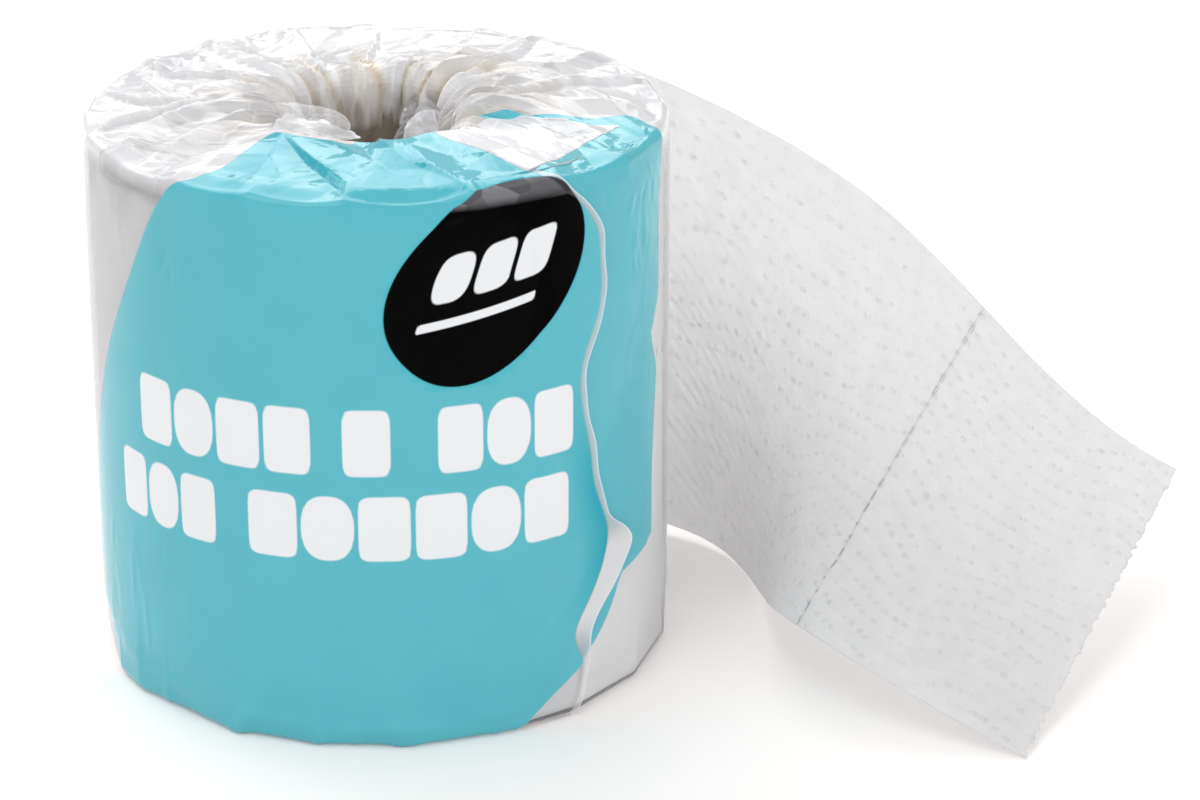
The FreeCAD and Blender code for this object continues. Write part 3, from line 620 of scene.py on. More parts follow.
def filmMaterial(name, gloss, inkBlack):
    # Cast polyethylene film, thin and glossy, printed on its inside. It shows what is under it, veils it in
    # white where it is crumpled or doubled, and glints along its creases. Light is painted on it too: white
    # lines along the crests, edges and cell borders, beige shade in the pleat valleys, shade as deeper ink
    # beside folds, and grey sheen on the faces of the black ink.
    material, tree = emptyMaterial(name)
    keys = ("inkEdge", "patchEdge", "shapeEdge", "fanU", "fanW", "shadeAndDoubledInk", "valleyShade", "milky", "layers", "glintLine",
            "crumpled")
    value = {key: addNode(tree, "Attribute", {"attribute_name": key}).outputs["Fac"] for key in keys}
    # each outline is a ramp across a tenth of a millimetre or so on either side of its edge
    ink, patch, shapes = [addNode(tree, "MapRange", {1: -soft, 2: soft}, {0: value[key]})
                          for key, soft in (("inkEdge", 0.12), ("patchEdge", 0.10), ("shapeEdge", 0.12))]
    coordinates = addNode(tree, "TexCoord")
    mottle = addNode(tree, "TexNoise", {"Scale": 90.0, "Detail": 3.0, "Roughness": 0.55},
                     {"Vector": coordinates.outputs["Object"]})
    # the crumples: cells of three sizes on the fan, each tilted its own way, with a painted highlight line at
    # their edges
    fan = addNode(tree, "CombineXYZ", {}, {0: value["fanU"], 1: value["fanW"]})
    inkTone = addNode(tree, "Mix", {"data_type": "RGBA", 6: toLinear("#50B8C7"), 7: toLinear("#5DC1CF")},
                      {0: mottle.outputs["Fac"]})
    # deeper ink: painted shade beside folds, and under the outer layer's edge doubled ink with painted shade
    shadeAndDoubledInk = addNode(tree, "Mix", {"data_type": "RGBA", 7: toLinear("#0AA8BC")},
                   {0: value["shadeAndDoubledInk"], 6: inkTone.outputs[2]})
    # painted shade: the film's white turns beige in the pleat valleys
    whiteAndValleyShade = addNode(tree, "Mix", {"data_type": "RGBA", 6: toLinear("#EAEAED"), 7: toLinear("#DDD2C2")},
                    {0: value["valleyShade"]})
    clear = addNode(tree, "Mix", {"data_type": "RGBA"}, {0: ink, 6: whiteAndValleyShade.outputs[2], 7: shadeAndDoubledInk.outputs[2]})
    # painted sheen: the black ink turns grey where the film is crumpled, a different grey on each face, for
    # reflections of the room
    sheenOnBlack = addNode(tree, "MapRange", {1: 0.55, 2: 1.0, 3: 0.0, 4: 1.0}, {0: value["milky"]})
    faces = addNode(tree, "TexVoronoi", {"voronoi_dimensions": "2D", "Scale": 2.6},
                    {"Vector": fan})
    faceSheenTone = addNode(tree, "MapRange", {1: 0.1, 2: 0.9, 3: 0.35, 4: 1.0}, {0: faces.outputs["Color"]})
    paintedBlackSheen = addNode(tree, "Math", {"operation": "MULTIPLY"}, {0: sheenOnBlack, 1: faceSheenTone})
    blackInkWithSheen = addNode(tree, "Mix", {"data_type": "RGBA", 6: toLinear(inkBlack), 7: toLinear("#87878C")},
                        {0: paintedBlackSheen})
    black = addNode(tree, "Mix", {"data_type": "RGBA"},
                    {0: patch, 6: clear.outputs[2], 7: blackInkWithSheen.outputs[2]})
    colour = addNode(tree, "Mix", {"data_type": "RGBA", 7: toLinear("#F0F3F6")},
                     {0: shapes, 6: black.outputs[2]})
    cover = addNode(tree, "Math", {"operation": "MAXIMUM"}, {0: ink, 1: patch})
    tilts = []
    for around, along, amount in ((1.1, 0.7, 0.26), (3.4, 1.5, 0.22), (7.5, 4.5, 0.10)):
        longways = addNode(tree, "Mapping", {"Scale": (around, along, 1.0)}, {"Vector": fan})
        cells = addNode(tree, "TexVoronoi", {"voronoi_dimensions": "2D", "Scale": 1.0},
                        {"Vector": longways})
        middle = addNode(tree, "VectorMath", {"operation": "SUBTRACT", 1: (0.5, 0.5, 0.5)},
                         {0: cells.outputs["Color"]})
        tilts.append(addNode(tree, "VectorMath", {"operation": "SCALE", 3: amount}, {0: middle}))
    two = addNode(tree, "VectorMath", {"operation": "ADD"}, {0: tilts[0], 1: tilts[1]})
    three = addNode(tree, "VectorMath", {"operation": "ADD"}, {0: two, 1: tilts[2]})
    held = addNode(tree, "VectorMath", {"operation": "SCALE"}, {0: three, 3: value["crumpled"]})
    border = addNode(tree, "TexVoronoi",
                     {"voronoi_dimensions": "2D", "feature": "DISTANCE_TO_EDGE", "Scale": 1.0},
                     {"Vector": fan})
    # painted highlight: a bright line along each cell's edge
    thin = addNode(tree, "MapRange", {1: 0.0, 2: 0.035, 3: 0.20, 4: 0.0}, {0: border.outputs["Distance"]})
    cellEdgeGlint = addNode(tree, "Math", {"operation": "MULTIPLY"}, {0: thin, 1: value["crumpled"]})
    # the white that the clear film adds: a little everywhere, more where milky, more where doubled, and
    # painted highlight lines along the crests and the cell edges
    milk = addNode(tree, "Math", {"operation": "MULTIPLY_ADD", 1: 0.50, 2: 0.04}, {0: value["milky"]})
    stacked = addNode(tree, "Math", {"operation": "MULTIPLY_ADD", 1: 0.36},
                      {0: value["layers"], 2: milk})
    stackedWithGlints = addNode(tree, "Math", {"operation": "MULTIPLY_ADD", 1: 0.35},
                    {0: value["glintLine"], 2: stacked})
    veilAndGlints = addNode(tree, "Math", {"operation": "ADD"}, {0: stackedWithGlints, 1: cellEdgeGlint})
    glance = addNode(tree, "Fresnel", {"IOR": 1.5})
    veil = addNode(tree, "Math", {"operation": "MULTIPLY_ADD", 1: 0.8, "use_clamp": True},
                   {0: glance, 2: veilAndGlints})
    solid = addNode(tree, "Math", {"operation": "MULTIPLY", 1: 0.97}, {0: cover})
    amount = addNode(tree, "Math", {"operation": "MAXIMUM", "use_clamp": True},
                     {0: solid, 1: veil})
    crinkle = addNode(tree, "TexNoise", {"Scale": 260.0, "Detail": 4.0, "Roughness": 0.5},
                      {"Vector": coordinates.outputs["Object"]})
    bump = addNode(tree, "Bump", {"Strength": 0.06, "Distance": 0.0005}, {"Height": crinkle.outputs["Fac"]})
    tilted = addNode(tree, "VectorMath", {"operation": "ADD"}, {0: bump, 1: held})
    normal = addNode(tree, "VectorMath", {"operation": "NORMALIZE"}, {0: tilted})
    surface = addNode(tree, "BsdfPrincipled",
                      {"Roughness": 0.09, "IOR": 1.5, "Specular IOR Level": gloss},
                      {"Base Color": colour.outputs[2], "Normal": normal})
    through = addNode(tree, "BsdfTransparent", {"Color": (1, 1, 1, 1)})
    blend = addNode(tree, "MixShader", {}, {0: amount, 1: through, 2: surface})
    addNode(tree, "OutputMaterial", {}, {"Surface": blend})
    return material


def tissueMaterial(name, dark, pale, thin):
    # Bathroom tissue: creped, bonded paper, soft and matt, with fibres that lie mostly along the web. A
    # single web lets through a share of the light behind it. Along the rows of slits it is painted a darker
    # grey as shade.
    material, tree = emptyMaterial(name)
    place = addNode(tree, "UVMap", {"uv_map": "flat"})
    stretched = addNode(tree, "Mapping", {"Scale": (1.0, 2.2, 1.0)}, {"Vector": place})
    fibres = addNode(tree, "TexNoise", {"Scale": 1500.0, "Detail": 5.0, "Roughness": 0.65},
                     {"Vector": stretched})
    clouds = addNode(tree, "TexNoise", {"Scale": 220.0, "Detail": 3.0}, {"Vector": place})
    tones = addNode(tree, "Mix", {"data_type": "RGBA", 6: toLinear(dark), 7: toLinear(pale)},
                    {0: clouds.outputs["Fac"]})
    # painted shade: darker grey along the rows of slits
    paintedSlitShade = addNode(tree, "Attribute", {"attribute_name": "paintedSlitShade"})
    tone = addNode(tree, "Mix", {"data_type": "RGBA", 7: toLinear("#D2D2D5")},
                   {0: paintedSlitShade.outputs["Fac"], 6: tones.outputs[2]})
    bump = addNode(tree, "Bump", {"Strength": 0.6, "Distance": 0.0003}, {"Height": fibres.outputs["Fac"]})
    surface = addNode(tree, "BsdfPrincipled",
                      {"Roughness": 0.95, "IOR": 1.45, "Specular IOR Level": 0.2, "Sheen Weight": 0.15,
                       "Sheen Roughness": 0.5},
                      {"Base Color": tone.outputs[2], "Normal": bump})
    shown = surface
    if thin:
        passing = addNode(tree, "BsdfTranslucent", {}, {"Color": tone.outputs[2], "Normal": bump})
        blend = addNode(tree, "MixShader", {0: thin}, {1: shown, 2: passing})
        shown = blend
    addNode(tree, "OutputMaterial", {}, {"Surface": shown})
    return material


def boardMaterial(name):
    # Grey-brown recycled board, wound in a spiral: matt, and flecked by the fibres of the old paper in it
    material, tree = emptyMaterial(name)
    coordinates = addNode(tree, "TexCoord")
    flecks = addNode(tree, "TexNoise", {"Scale": 900.0, "Detail": 6.0, "Roughness": 0.7},
                     {"Vector": coordinates.outputs["Object"]})
    tone = addNode(tree, "Mix", {"data_type": "RGBA", 6: toLinear("#CDBFA7"), 7: toLinear("#EADFCB")},
                   {0: flecks.outputs["Fac"]})
    bump = addNode(tree, "Bump", {"Strength": 0.4, "Distance": 0.0003}, {"Height": flecks.outputs["Fac"]})
    surface = addNode(tree, "BsdfPrincipled", {"Roughness": 0.9, "IOR": 1.5, "Specular IOR Level": 0.25},
                      {"Base Color": tone.outputs[2], "Normal": bump})
    addNode(tree, "OutputMaterial", {}, {"Surface": surface})
    return material


clearFilm = filmMaterial("castFilmPrinted", 0.4, "#050506")
blackFilm = filmMaterial("castFilmBlackInk", 0.03, "#000000")
tissue = tissueMaterial("crepedTissue", "#F1F1F2", "#FAFAFA", 0.60)
woundTissue = tissueMaterial("crepedTissueWound", "#F4F4F5", "#FBFBFB", 0.0)
board = boardMaterial("spiralWoundBoard")
print("materials made")


def wrapAngles():
    # bearings round the wrap from one side of the slit to the other, closer together at the front
    fine = np.linspace(wrap["slitMiddle"] - 360, wrap["slitMiddle"], 4000)
    front = 0.5 - 0.5 * np.tanh((np.abs(fine + 90) - 95) / 12)
    spacing = wrap["columnsBack"] + (wrap["columnsFront"] - wrap["columnsBack"]) * front
    step = np.radians(fine[1] - fine[0]) * filmRadius / spacing
    count = np.concatenate([[0], np.cumsum(step[1:])])
    whole = int(round(count[-1]))
    return np.radians(np.interp(np.linspace(0, count[-1], whole + 1), count, fine))


def wrapRows():
    # places along the section: close together over the shoulder, the top and the rims
    stops = [(wrapStart, -24, 8), (-24, -2.5, 12), (-2.5, 4, 12), (4, 12, 8), (12, 78, 38),
             (78, shoulderStart - 6, 24), (shoulderStart - 6, topStart + 2, 24), (topStart + 2, rimStart, 47),
             (rimStart, rimEnd, 6), (rimEnd, wrapEnd, 14)]
    rows = [np.linspace(low, high, count, endpoint=False) for low, high, count in stops]
    return np.concatenate(rows + [[wrapEnd]])


def creaseSharply(piece, v, low, high):
    # between two places along the section each small face keeps its own slope, so that creases stay sharp
    between = (v[:-1, :-1] > low) & (v[:-1, :-1] < high)
    piece.data.polygons.foreach_set("use_smooth", ~between.ravel())


def makeWrap():
    # The wrap: filmPoint over a grid of bearings and places along the section; its ink ends past the rim
    angles, rows = wrapAngles(), wrapRows()
    angle, v = np.meshgrid(angles, rows)
    parting = np.radians(slitParting(v))
    # the columns near the slit move away from it, less and less over the next 25 degrees
    nearSlit = math.radians(25)
    fromStart = np.clip(1 - (angle - angles[0]) / nearSlit, 0, 1)
    fromEnd = np.clip(1 - (angles[-1] - angle) / nearSlit, 0, 1)
    angle = angle + parting * fromStart - parting * fromEnd
    points, maps = filmPoint(angle, v)
    across = filmRadius * (angle + math.pi / 2)
    field, patch = inkEdges(across, v)
    shapes = rowShapes(across, v)
    flat = np.stack([across, v], axis=-1)
    underFlap = riseAndFall(27, 31, 57, 61, across)
    rimInk = rimStart + 0.5 - 4.5 * (1 - smoothStep(0, 6, across + 8)) - 3 * underFlap - v
    maps.update({"inkEdge": np.minimum(field, rimInk), "patchEdge": patch, "shapeEdge": shapes})
    piece = gridPiece("wrap_film_outer", points, flat, maps)
    creaseSharply(piece, v, topStart - 0.4, rimEnd)
    print("wrap:", len(piece.data.polygons) * 2, "triangles")
    return piece


lapShape = {
    "up": [0.5, 3.3, 7.5, 10.5, 16.1, 21.9, 30.4, 33, 44.6, 50.4, 60.7, 66.2,
           72.9, 76.7, 88.6, 93, 97, 100.4, 103, 109, 119, 126, 131, 134],
    "across": [38, 40.0, 41.5, 41.6, 39.6, 42.8, 47.8, 48.3, 44.6, 43.6, 41.4, 40.9,
               42.9, 44.9, 46, 45.4, 43.2, 40.0, 37.0, 34.2, 31.7, 29.5, 26.6, 25.2],
    "wedgeUp": [8, 12, 17, 21, 26, 30, 33, 37], "wedgeWide": [1.5, 2.4, 4.6, 5.2, 7.0, 8.8, 6.0, 1.5],
    "opens": (108.5, 110.0), "flapWide": 36, "narrows": (128, 132.4, 134.4), "lessWide": (5, 7),
    "width": 16.0, "lift": 0.5, "under": -0.25, "goneDepth": 0.6, "hemGlint": 0.5,
    "foldGap": 44.5, "foldFacing": math.radians(-30.3),
}


def lapLine(up):
    # where the outer layer's ink ends: a smooth line through the places where it bends
    return splineThrough(lapShape["up"], lapShape["across"], np.clip(up, 0.5, 134))


def makeLap():
    # The film's outer layer: the wrap's own surface over a strip that ends at its free edge, lifted off by
    # the square of the share across it; that edge is the ink's line plus a clear margin
    rows = np.concatenate([np.linspace(0.3, 100, 150, endpoint=False), np.linspace(100, rimStart, 70)])
    share = np.linspace(0, 1, 60)
    share = 1 - (1 - share) ** 1.3
    t, v = np.meshgrid(share, rows)
    ink = lapLine(v)
    # low down the clear margin widens into a wedge, and over the top it opens into a wide flap
    opened = smoothStep(*lapShape["opens"], v)
    (first, second, third), (less, lesser) = lapShape["narrows"], lapShape["lessWide"]
    wide = lapShape["flapWide"] - less * smoothStep(first, second, v) - lesser * smoothStep(second, third, v)
    flap = wide * opened
    wedge = sum(np.interp(v + shift, lapShape["wedgeUp"], lapShape["wedgeWide"]) for shift in (-1, 0, 1)) / 3
    margin = wedge + 0.3 * np.sin(v / 5.1) * np.sin(v / 2.3 + 1) + flap
    free = ink + margin
    across = free - (lapShape["width"] + flap) * (1 - t)
    angle = across / filmRadius - math.pi / 2
    # on the hole's side of a straight fold the flap is doubled and white; beyond it goes under the print
    x, y, _ = fanOut(angle, v)
    past = lapShape["foldGap"] - x * math.cos(lapShape["foldFacing"]) - y * math.sin(lapShape["foldFacing"])
    gone = opened * (1 - smoothStep(-0.25, 0.25, past)) * smoothStep(1.5, 2.2, across - ink)
    lift = lapShape["under"] + 0.5 * smoothStep(0, 0.25, t)
    lift = lift + lapShape["lift"] * t ** 2 * (1 - smoothStep(106, 110, v))
    lift = lift - 0.12 * smoothStep(108, 111, v) * smoothStep(0.25, 0.5, t)
    points, maps = filmPoint(angle, v, lift - lapShape["goneDepth"] * gone)
    foot = splineThrough(printed["rightUp"], printed["rightAcross"], np.clip(v, -8, 40))
    inkEdge = np.minimum(ink, np.where(v < printed["footTop"], foot, 99)) - across
    _, patch = inkEdges(across, v)
    shapes = rowShapes(across, v)
    # painted highlight: a bright line along the outer layer's free edge
    hemGlint = np.clip(1 - (free - across) / lapShape["hemGlint"], 0, 1)
    # deeper ink beside the outer layer's edge: partly the doubled ink, partly painted shade where the layer
    # lifts off
    doubled = np.clip(1 - (ink - across) / 7, 0, 1) * riseAndFall(16, 32, 46, 66, v)
    onFlap = smoothStep(109, 111, v) * smoothStep(-0.25, 0.25, past) * smoothStep(0.3, 1.2, across - ink)
    thinner = smoothStep(17, 33, across - ink)
    pastInk = smoothStep(-0.3, 0.3, across - ink)
    clearMilk = 0.7 + 0.9 * riseAndFall(12, 20, 30, 38, v) - 0.45 * smoothStep(108, 111, v)
    clearMilk = clearMilk + 0.85 * onFlap * (1 - 0.35 * thinner)
    clearMilk = clearMilk * (1 - gone) - 0.5 * gone
    maps.update({
        "inkEdge": inkEdge, "patchEdge": patch, "shapeEdge": shapes, "valleyShade": 0.0 * v,
        "shadeAndDoubledInk": np.maximum(maps["shadeAndDoubledInk"], doubled),
        "milky": maps["milky"] * (1 - pastInk) + clearMilk * pastInk,
        "layers": np.maximum(0.5 * maps["layers"], onFlap * (0.95 - 0.45 * thinner)) * (1 - gone),
        "glintLine": np.maximum(maps["glintLine"], hemGlint) * (1 - gone), "crumpled": maps["crumpled"] * (1 - gone),
    })
    flat = np.stack([across, v], axis=-1)
    piece = gridPiece("wrap_film_lap", points, flat, maps)
    creaseSharply(piece, v, topStart - 0.4, rimEnd)
    print("lap:", len(piece.data.polygons) * 2, "triangles")
    return piece


def plainMaps(shape, milky, crumpled):
    # the maps of a leaf without print, which lies far outside every printed outline
    none = np.zeros(shape)
    return {"inkEdge": none - 9, "patchEdge": none - 9, "shapeEdge": none - 9, "valleyShade": none, "shadeAndDoubledInk": none,
            "milky": none + milky, "crumpled": none + crumpled}


flapShape = {
    "edge": [(-21, 0), (-17, 2), (-9, -1), (-5, -7), (-4, -13), (-5, -19)], "edgeHeight": 104.4,
    "bearings": (180, 256), "rimRadius": 22.3, "rimHeight": 103.9, "crown": 1.1,
}


def makeFlap():
    # A loose flap of the gathered film, which leans in over the left front of the hole: ruled from the
    # rim's arc to its free edge, and raised in the middle
    t, s = np.meshgrid(np.linspace(0, 1, 110), np.linspace(0, 1, 44))
    edge = splineThrough(np.linspace(0, 1, 6), flapShape["edge"], t)
    bearing = np.radians(flapShape["bearings"][0] + t * (flapShape["bearings"][1] - flapShape["bearings"][0]))
    rim = flapShape["rimRadius"] * np.stack([np.cos(bearing), np.sin(bearing)], axis=-1)
    place = rim + (edge - rim) * s[..., None]
    x, y = place[..., 0], place[..., 1]
    crumple = 0.45 * facets(x / 4 + 0.2 * y, y / 3.1, lattice, 97)
    crumple = crumple + 0.25 * facets(x / 1.9, y / 1.6 + x / 5, lattice, 98)
    z = flapShape["rimHeight"] + (flapShape["edgeHeight"] - flapShape["rimHeight"]) * s
    z = z + np.sin(math.pi * s) * (flapShape["crown"] + crumple) + 0.3 * crumple * s
    points = np.stack([x, y, z], axis=-1)
    # painted highlight: a bright line along the flap's free edge
    rimGlint = np.clip(1 - (1 - s) * np.linalg.norm(edge - rim, axis=-1) / 0.35, 0, 1)
    maps = {**plainMaps(s.shape, 0.30, 0.8), "layers": 0.25 * (facets(x / 3, y / 2.5, lattice, 99) > 0.2),
            "glintLine": rimGlint, "fanU": x / 4, "fanW": y / 4}
    piece = gridPiece("wrap_film_flap", points, place, maps)
    print("flap:", len(piece.data.polygons) * 2, "triangles")
    return piece


def inkPatch(piece):
    # the faces that lie wholly in the black patch get the duller film
    mesh = piece.data
    value = np.empty(len(mesh.vertices), np.float32)
    mesh.attributes["patchEdge"].data.foreach_get("value", value)
    corners = np.empty(len(mesh.loops), np.int32)
    mesh.loops.foreach_get("vertex_index", corners)
    inside = value[corners].reshape(-1, 4).max(axis=1) > -0.05
    mesh.materials.append(blackFilm)
    mesh.polygons.foreach_set("material_index", inside.astype(np.int32))


tufts = [
    # each tuft of gathered film: lower left, lower right, upper right and upper left corner, and its bow
    ((4.8, -10, 98), (12.6, -12, 99), (11.4, -9, 106.9), (6.3, -8, 105.8), 2.2),
    ((2.5, 3, 96), (13, 2, 97), (11, 3, 105.6), (4, 1, 99.5), 1.8),
    ((13, -5, 98), (20, -3, 101), (19.5, 1.5, 105.4), (14.5, 0, 105.2), 1.6),
    ((3.5, 15, 96), (12, 14, 97), (11.5, 16, 103.4), (5, 17, 101.2), 2.0),
    ((10, 9, 94), (17, 5, 96), (17, 8, 104.5), (11.5, 11, 104.0), 2.2),
    ((-19, -17.5, 105.3), (-1.5, -21.5, 105.2), (-4, -17.5, 106.5), (-14.5, -12.5, 107.2), 0.6),
]


def makeTuft(number, corners, bow):
    # a leaf of crumpled film: ruled between four corners, bowed across, with a rounded, pinched free edge
    lowLeft, lowRight, highRight, highLeft = np.array(corners, float)
    t, s = np.meshgrid(np.linspace(0, 1, 36), np.linspace(0, 1, 44))
    rounded = s * (1 - 0.22 * (2 * t - 1) ** 4 * s)
    low = lowLeft + (lowRight - lowLeft) * t[..., None]
    high = highLeft + (highRight - highLeft) * t[..., None]
    points = low + (high - low) * rounded[..., None]
    normal = np.cross(lowRight - lowLeft, highLeft - lowLeft)
    normal = normal / np.linalg.norm(normal)
    crumple = facets(t * 4, s * 4, lattice, 100 + number) + 0.5 * facets(t * 9, s * 8, lattice, 110 + number)
    out = bow * np.sin(math.pi * t) + 0.55 * crumple + 0.8 * s ** 3 * np.sin(3.3 * math.pi * t + number)
    points = points - normal * out[..., None]
    # painted highlight: a bright line along the leaf's free edge and its sides
    hemGlint = np.clip(1 - np.minimum(np.minimum(1 - s, t * 0.8), (1 - t) * 0.8) / 0.05, 0, 1)
    doubled = facets(t * 5, s * 4, lattice, 120 + number) > 0.1
    maps = {**plainMaps(s.shape, 0.85, 1.0), "layers": 0.4 + 0.6 * doubled, "glintLine": hemGlint,
            "fanU": 3 * t + 7 * number, "fanW": 3 * s}
    piece = gridPiece("wrap_film_tuft_" + str(number + 1), points, np.stack([t, s], axis=-1) * 10, maps)
    finishPiece(piece, clearFilm, "wrap_film")
    return piece


wrapPiece, lapPiece = makeWrap(), makeLap()
for piece in (wrapPiece, lapPiece):
    finishPiece(piece, clearFilm, "wrap_film")
    inkPatch(piece)
leaves = [makeTuft(number, corners, bow) for number, (*corners, bow) in enumerate(tufts)]
print("tufts:", len(tufts))
flapPiece = makeFlap()
finishPiece(flapPiece, clearFilm, "wrap_film")


turns = {"edge": 1.2, "footEdge": 1.6, "columns": 400, "lower": 0.8, "clear": 0.05}


def makeTurns():
    # The wound web as one body: out from the core over the base, up the side and in over the top. Its upper
    # end shows the edges of the turns as fine steps, and its side has slight swells.
    inner, outer, edge, foot = coreRadius + turns["clear"], paperRadius, turns["edge"], turns["footEdge"]
    low, high = paperBase - turns["lower"], paperTop
    base = np.stack([np.linspace(inner, outer - foot, 24), np.full(24, low)], axis=-1)
    side = np.stack([np.full(90, outer), np.linspace(low + foot, high - edge, 90)], axis=-1)
    turn = np.radians(np.linspace(0, 90, 7)[1:-1])
    lowArc = np.stack([outer - foot * (1 - np.sin(turn)), low + foot * (1 - np.cos(turn))], axis=-1)
    highArc = np.stack([outer - edge + edge * np.cos(turn), high - edge + edge * np.sin(turn)], axis=-1)
    top = np.stack([np.linspace(outer - edge, inner, 60), np.full(60, high)], axis=-1)
    bore = np.stack([np.full(6, inner), np.linspace(high, low, 8)[1:-1]], axis=-1)
    section = np.concatenate([base, lowArc, side, highArc, top, bore])
    angle = np.linspace(0, 2 * math.pi, turns["columns"], endpoint=False)
    r, a = np.meshgrid(section[:, 0], angle, indexing="ij")
    z = np.repeat(section[:, 1:], turns["columns"], axis=1)
    arc = outer * a
    onSide = smoothStep(outer - 2, outer - 0.5, r)
    onTop = (1 - onSide) * (z > (low + high) / 2)
    r = r + onSide * (0.12 * softNoise(arc, z, 41, 9) - 0.05) + 0.6 * onSide * (1 - smoothStep(10, 30, z))
    r = r - cornerSag(a, footCorners) * (1 - smoothStep(0, 14, z)) * smoothStep(outer - 12, outer - 3, r)
    z = z + onTop * (0.25 * softNoise(r * 3, arc * r / outer * 0.25, 43, 2.4) - 0.25)
    points = np.stack([r * np.cos(a), r * np.sin(a), z], axis=-1)
    flat = np.stack([arc, np.broadcast_to(np.arange(1.0, len(section) + 1)[:, None], arc.shape)], axis=-1)
    # the first ring comes again at the end, and closes the section
    points, flat = np.concatenate([points, points[:1]]), np.concatenate([flat, flat[:1]])
    piece = gridPiece("paper_turns", points, flat, closed=True)
    print("turns:", len(piece.data.polygons) * 2, "triangles")
    return piece


turnsPiece = makeTurns()
finishPiece(turnsPiece, woundTissue, "paper_roll")


web = {
    "width": 98.0, "thickness": 0.22, "spacing": 0.46,
    # lower edge x, y, z, compass and slope of the line across the web, as in the CAD model
    "stations": [(8, 52.6, 1.5, 180, 90), (18, 52.4, 2.2, 175, 85.5), (39.5, 49, 2.5, 154, 79.5),
                 (62.5, 36.5, 1.2, 124, 69), (71.5, 15.5, 0.8, 96, 55), (73.5, -9.5, 8, 75, 35),
                 (77.5, -30, 13.5, 64, 18.5), (93.5, -45.5, 9.5, 63, 11.5), (117, -57.5, 0.4, 66.5, 11)],
    # the station at the row of slits that shows, and the length along the middle back to the hidden row
    "perforation": 6, "rowToRow": 90.5,
    "slit": 2.2, "slitPitch": 4.1, "slitGap": 0.056,
    "dotPitch": 2.5, "rowPitch": 4.7, "dotRadius": 0.62, "dotDepth": 0.46,
    "stretch": 1.1,   # length of the pattern for each millimetre along the middle
    "swell": (0.35, 11), "smallSwell": (0.22, 5), "ripple": 0.30, "ripplePitch": 2.6,
}


def webEdges():
    # both edges of the web, and the length along its middle at each station
    low = np.array([s[:3] for s in web["stations"]], float)
    compass, slope = np.radians([[s[3], s[4]] for s in web["stations"]]).T
    level = np.cos(slope)
    across = np.stack([np.cos(compass) * level, np.sin(compass) * level, np.sin(slope)], axis=-1)
    high = low + web["width"] * across
    middle = (low + high) / 2
    length = np.concatenate([[0], np.cumsum(np.linalg.norm(np.diff(middle, axis=0), axis=1))])
    return low, high, length


webLow, webHigh, webLength = webEdges()


def embossing(x, y):
    # Pressed dots in wavy rows: the nearest row and the nearest dot in it are found for each point, and the
    # dot is a round hollow with a slightly raised rim. Some dots are faint, and all sit a little off their
    # place.
    chance = np.random.default_rng(77)
    offX, offY, weight = chance.normal(0, 0.22, (3, 128, 128))
    wave = 3.4 * np.sin(x / 8.2 + 0.5 * np.sin(y / 13)) + 1.1 * np.sin(x / 4.1 + y / 17)
    total = np.zeros_like(x)
    row = (y - wave) / web["rowPitch"]
    nearest = np.round(row).astype(int)
    for k in (nearest - 1, nearest, nearest + 1):
        shift = 0.5 * (k % 2)
        place = x / web["dotPitch"] + shift
        j = np.round(place).astype(int)
        dx = (place - j) * web["dotPitch"] - offX[k % 128, j % 128]
        dy = (row - k) * web["rowPitch"] - offY[k % 128, j % 128]
        q = (dx ** 2 + dy ** 2) / web["dotRadius"] ** 2
        strength = np.clip(1 + 1.6 * weight[k % 128, j % 128], 0.15, 1.5)
        total = total - strength * (1 - 0.85 * q) * np.exp(-q)
    return total * web["dotDepth"]


def webSurface(along, across):
    # The web is ruled between its lower and upper edges, each a smooth line through its stations.
    both = splineThrough(webLength, np.hstack([webLow, webHigh]), along)
    low, high = both[..., :3], both[..., 3:]
    return low + (high - low) * (across / web["width"])[..., None]


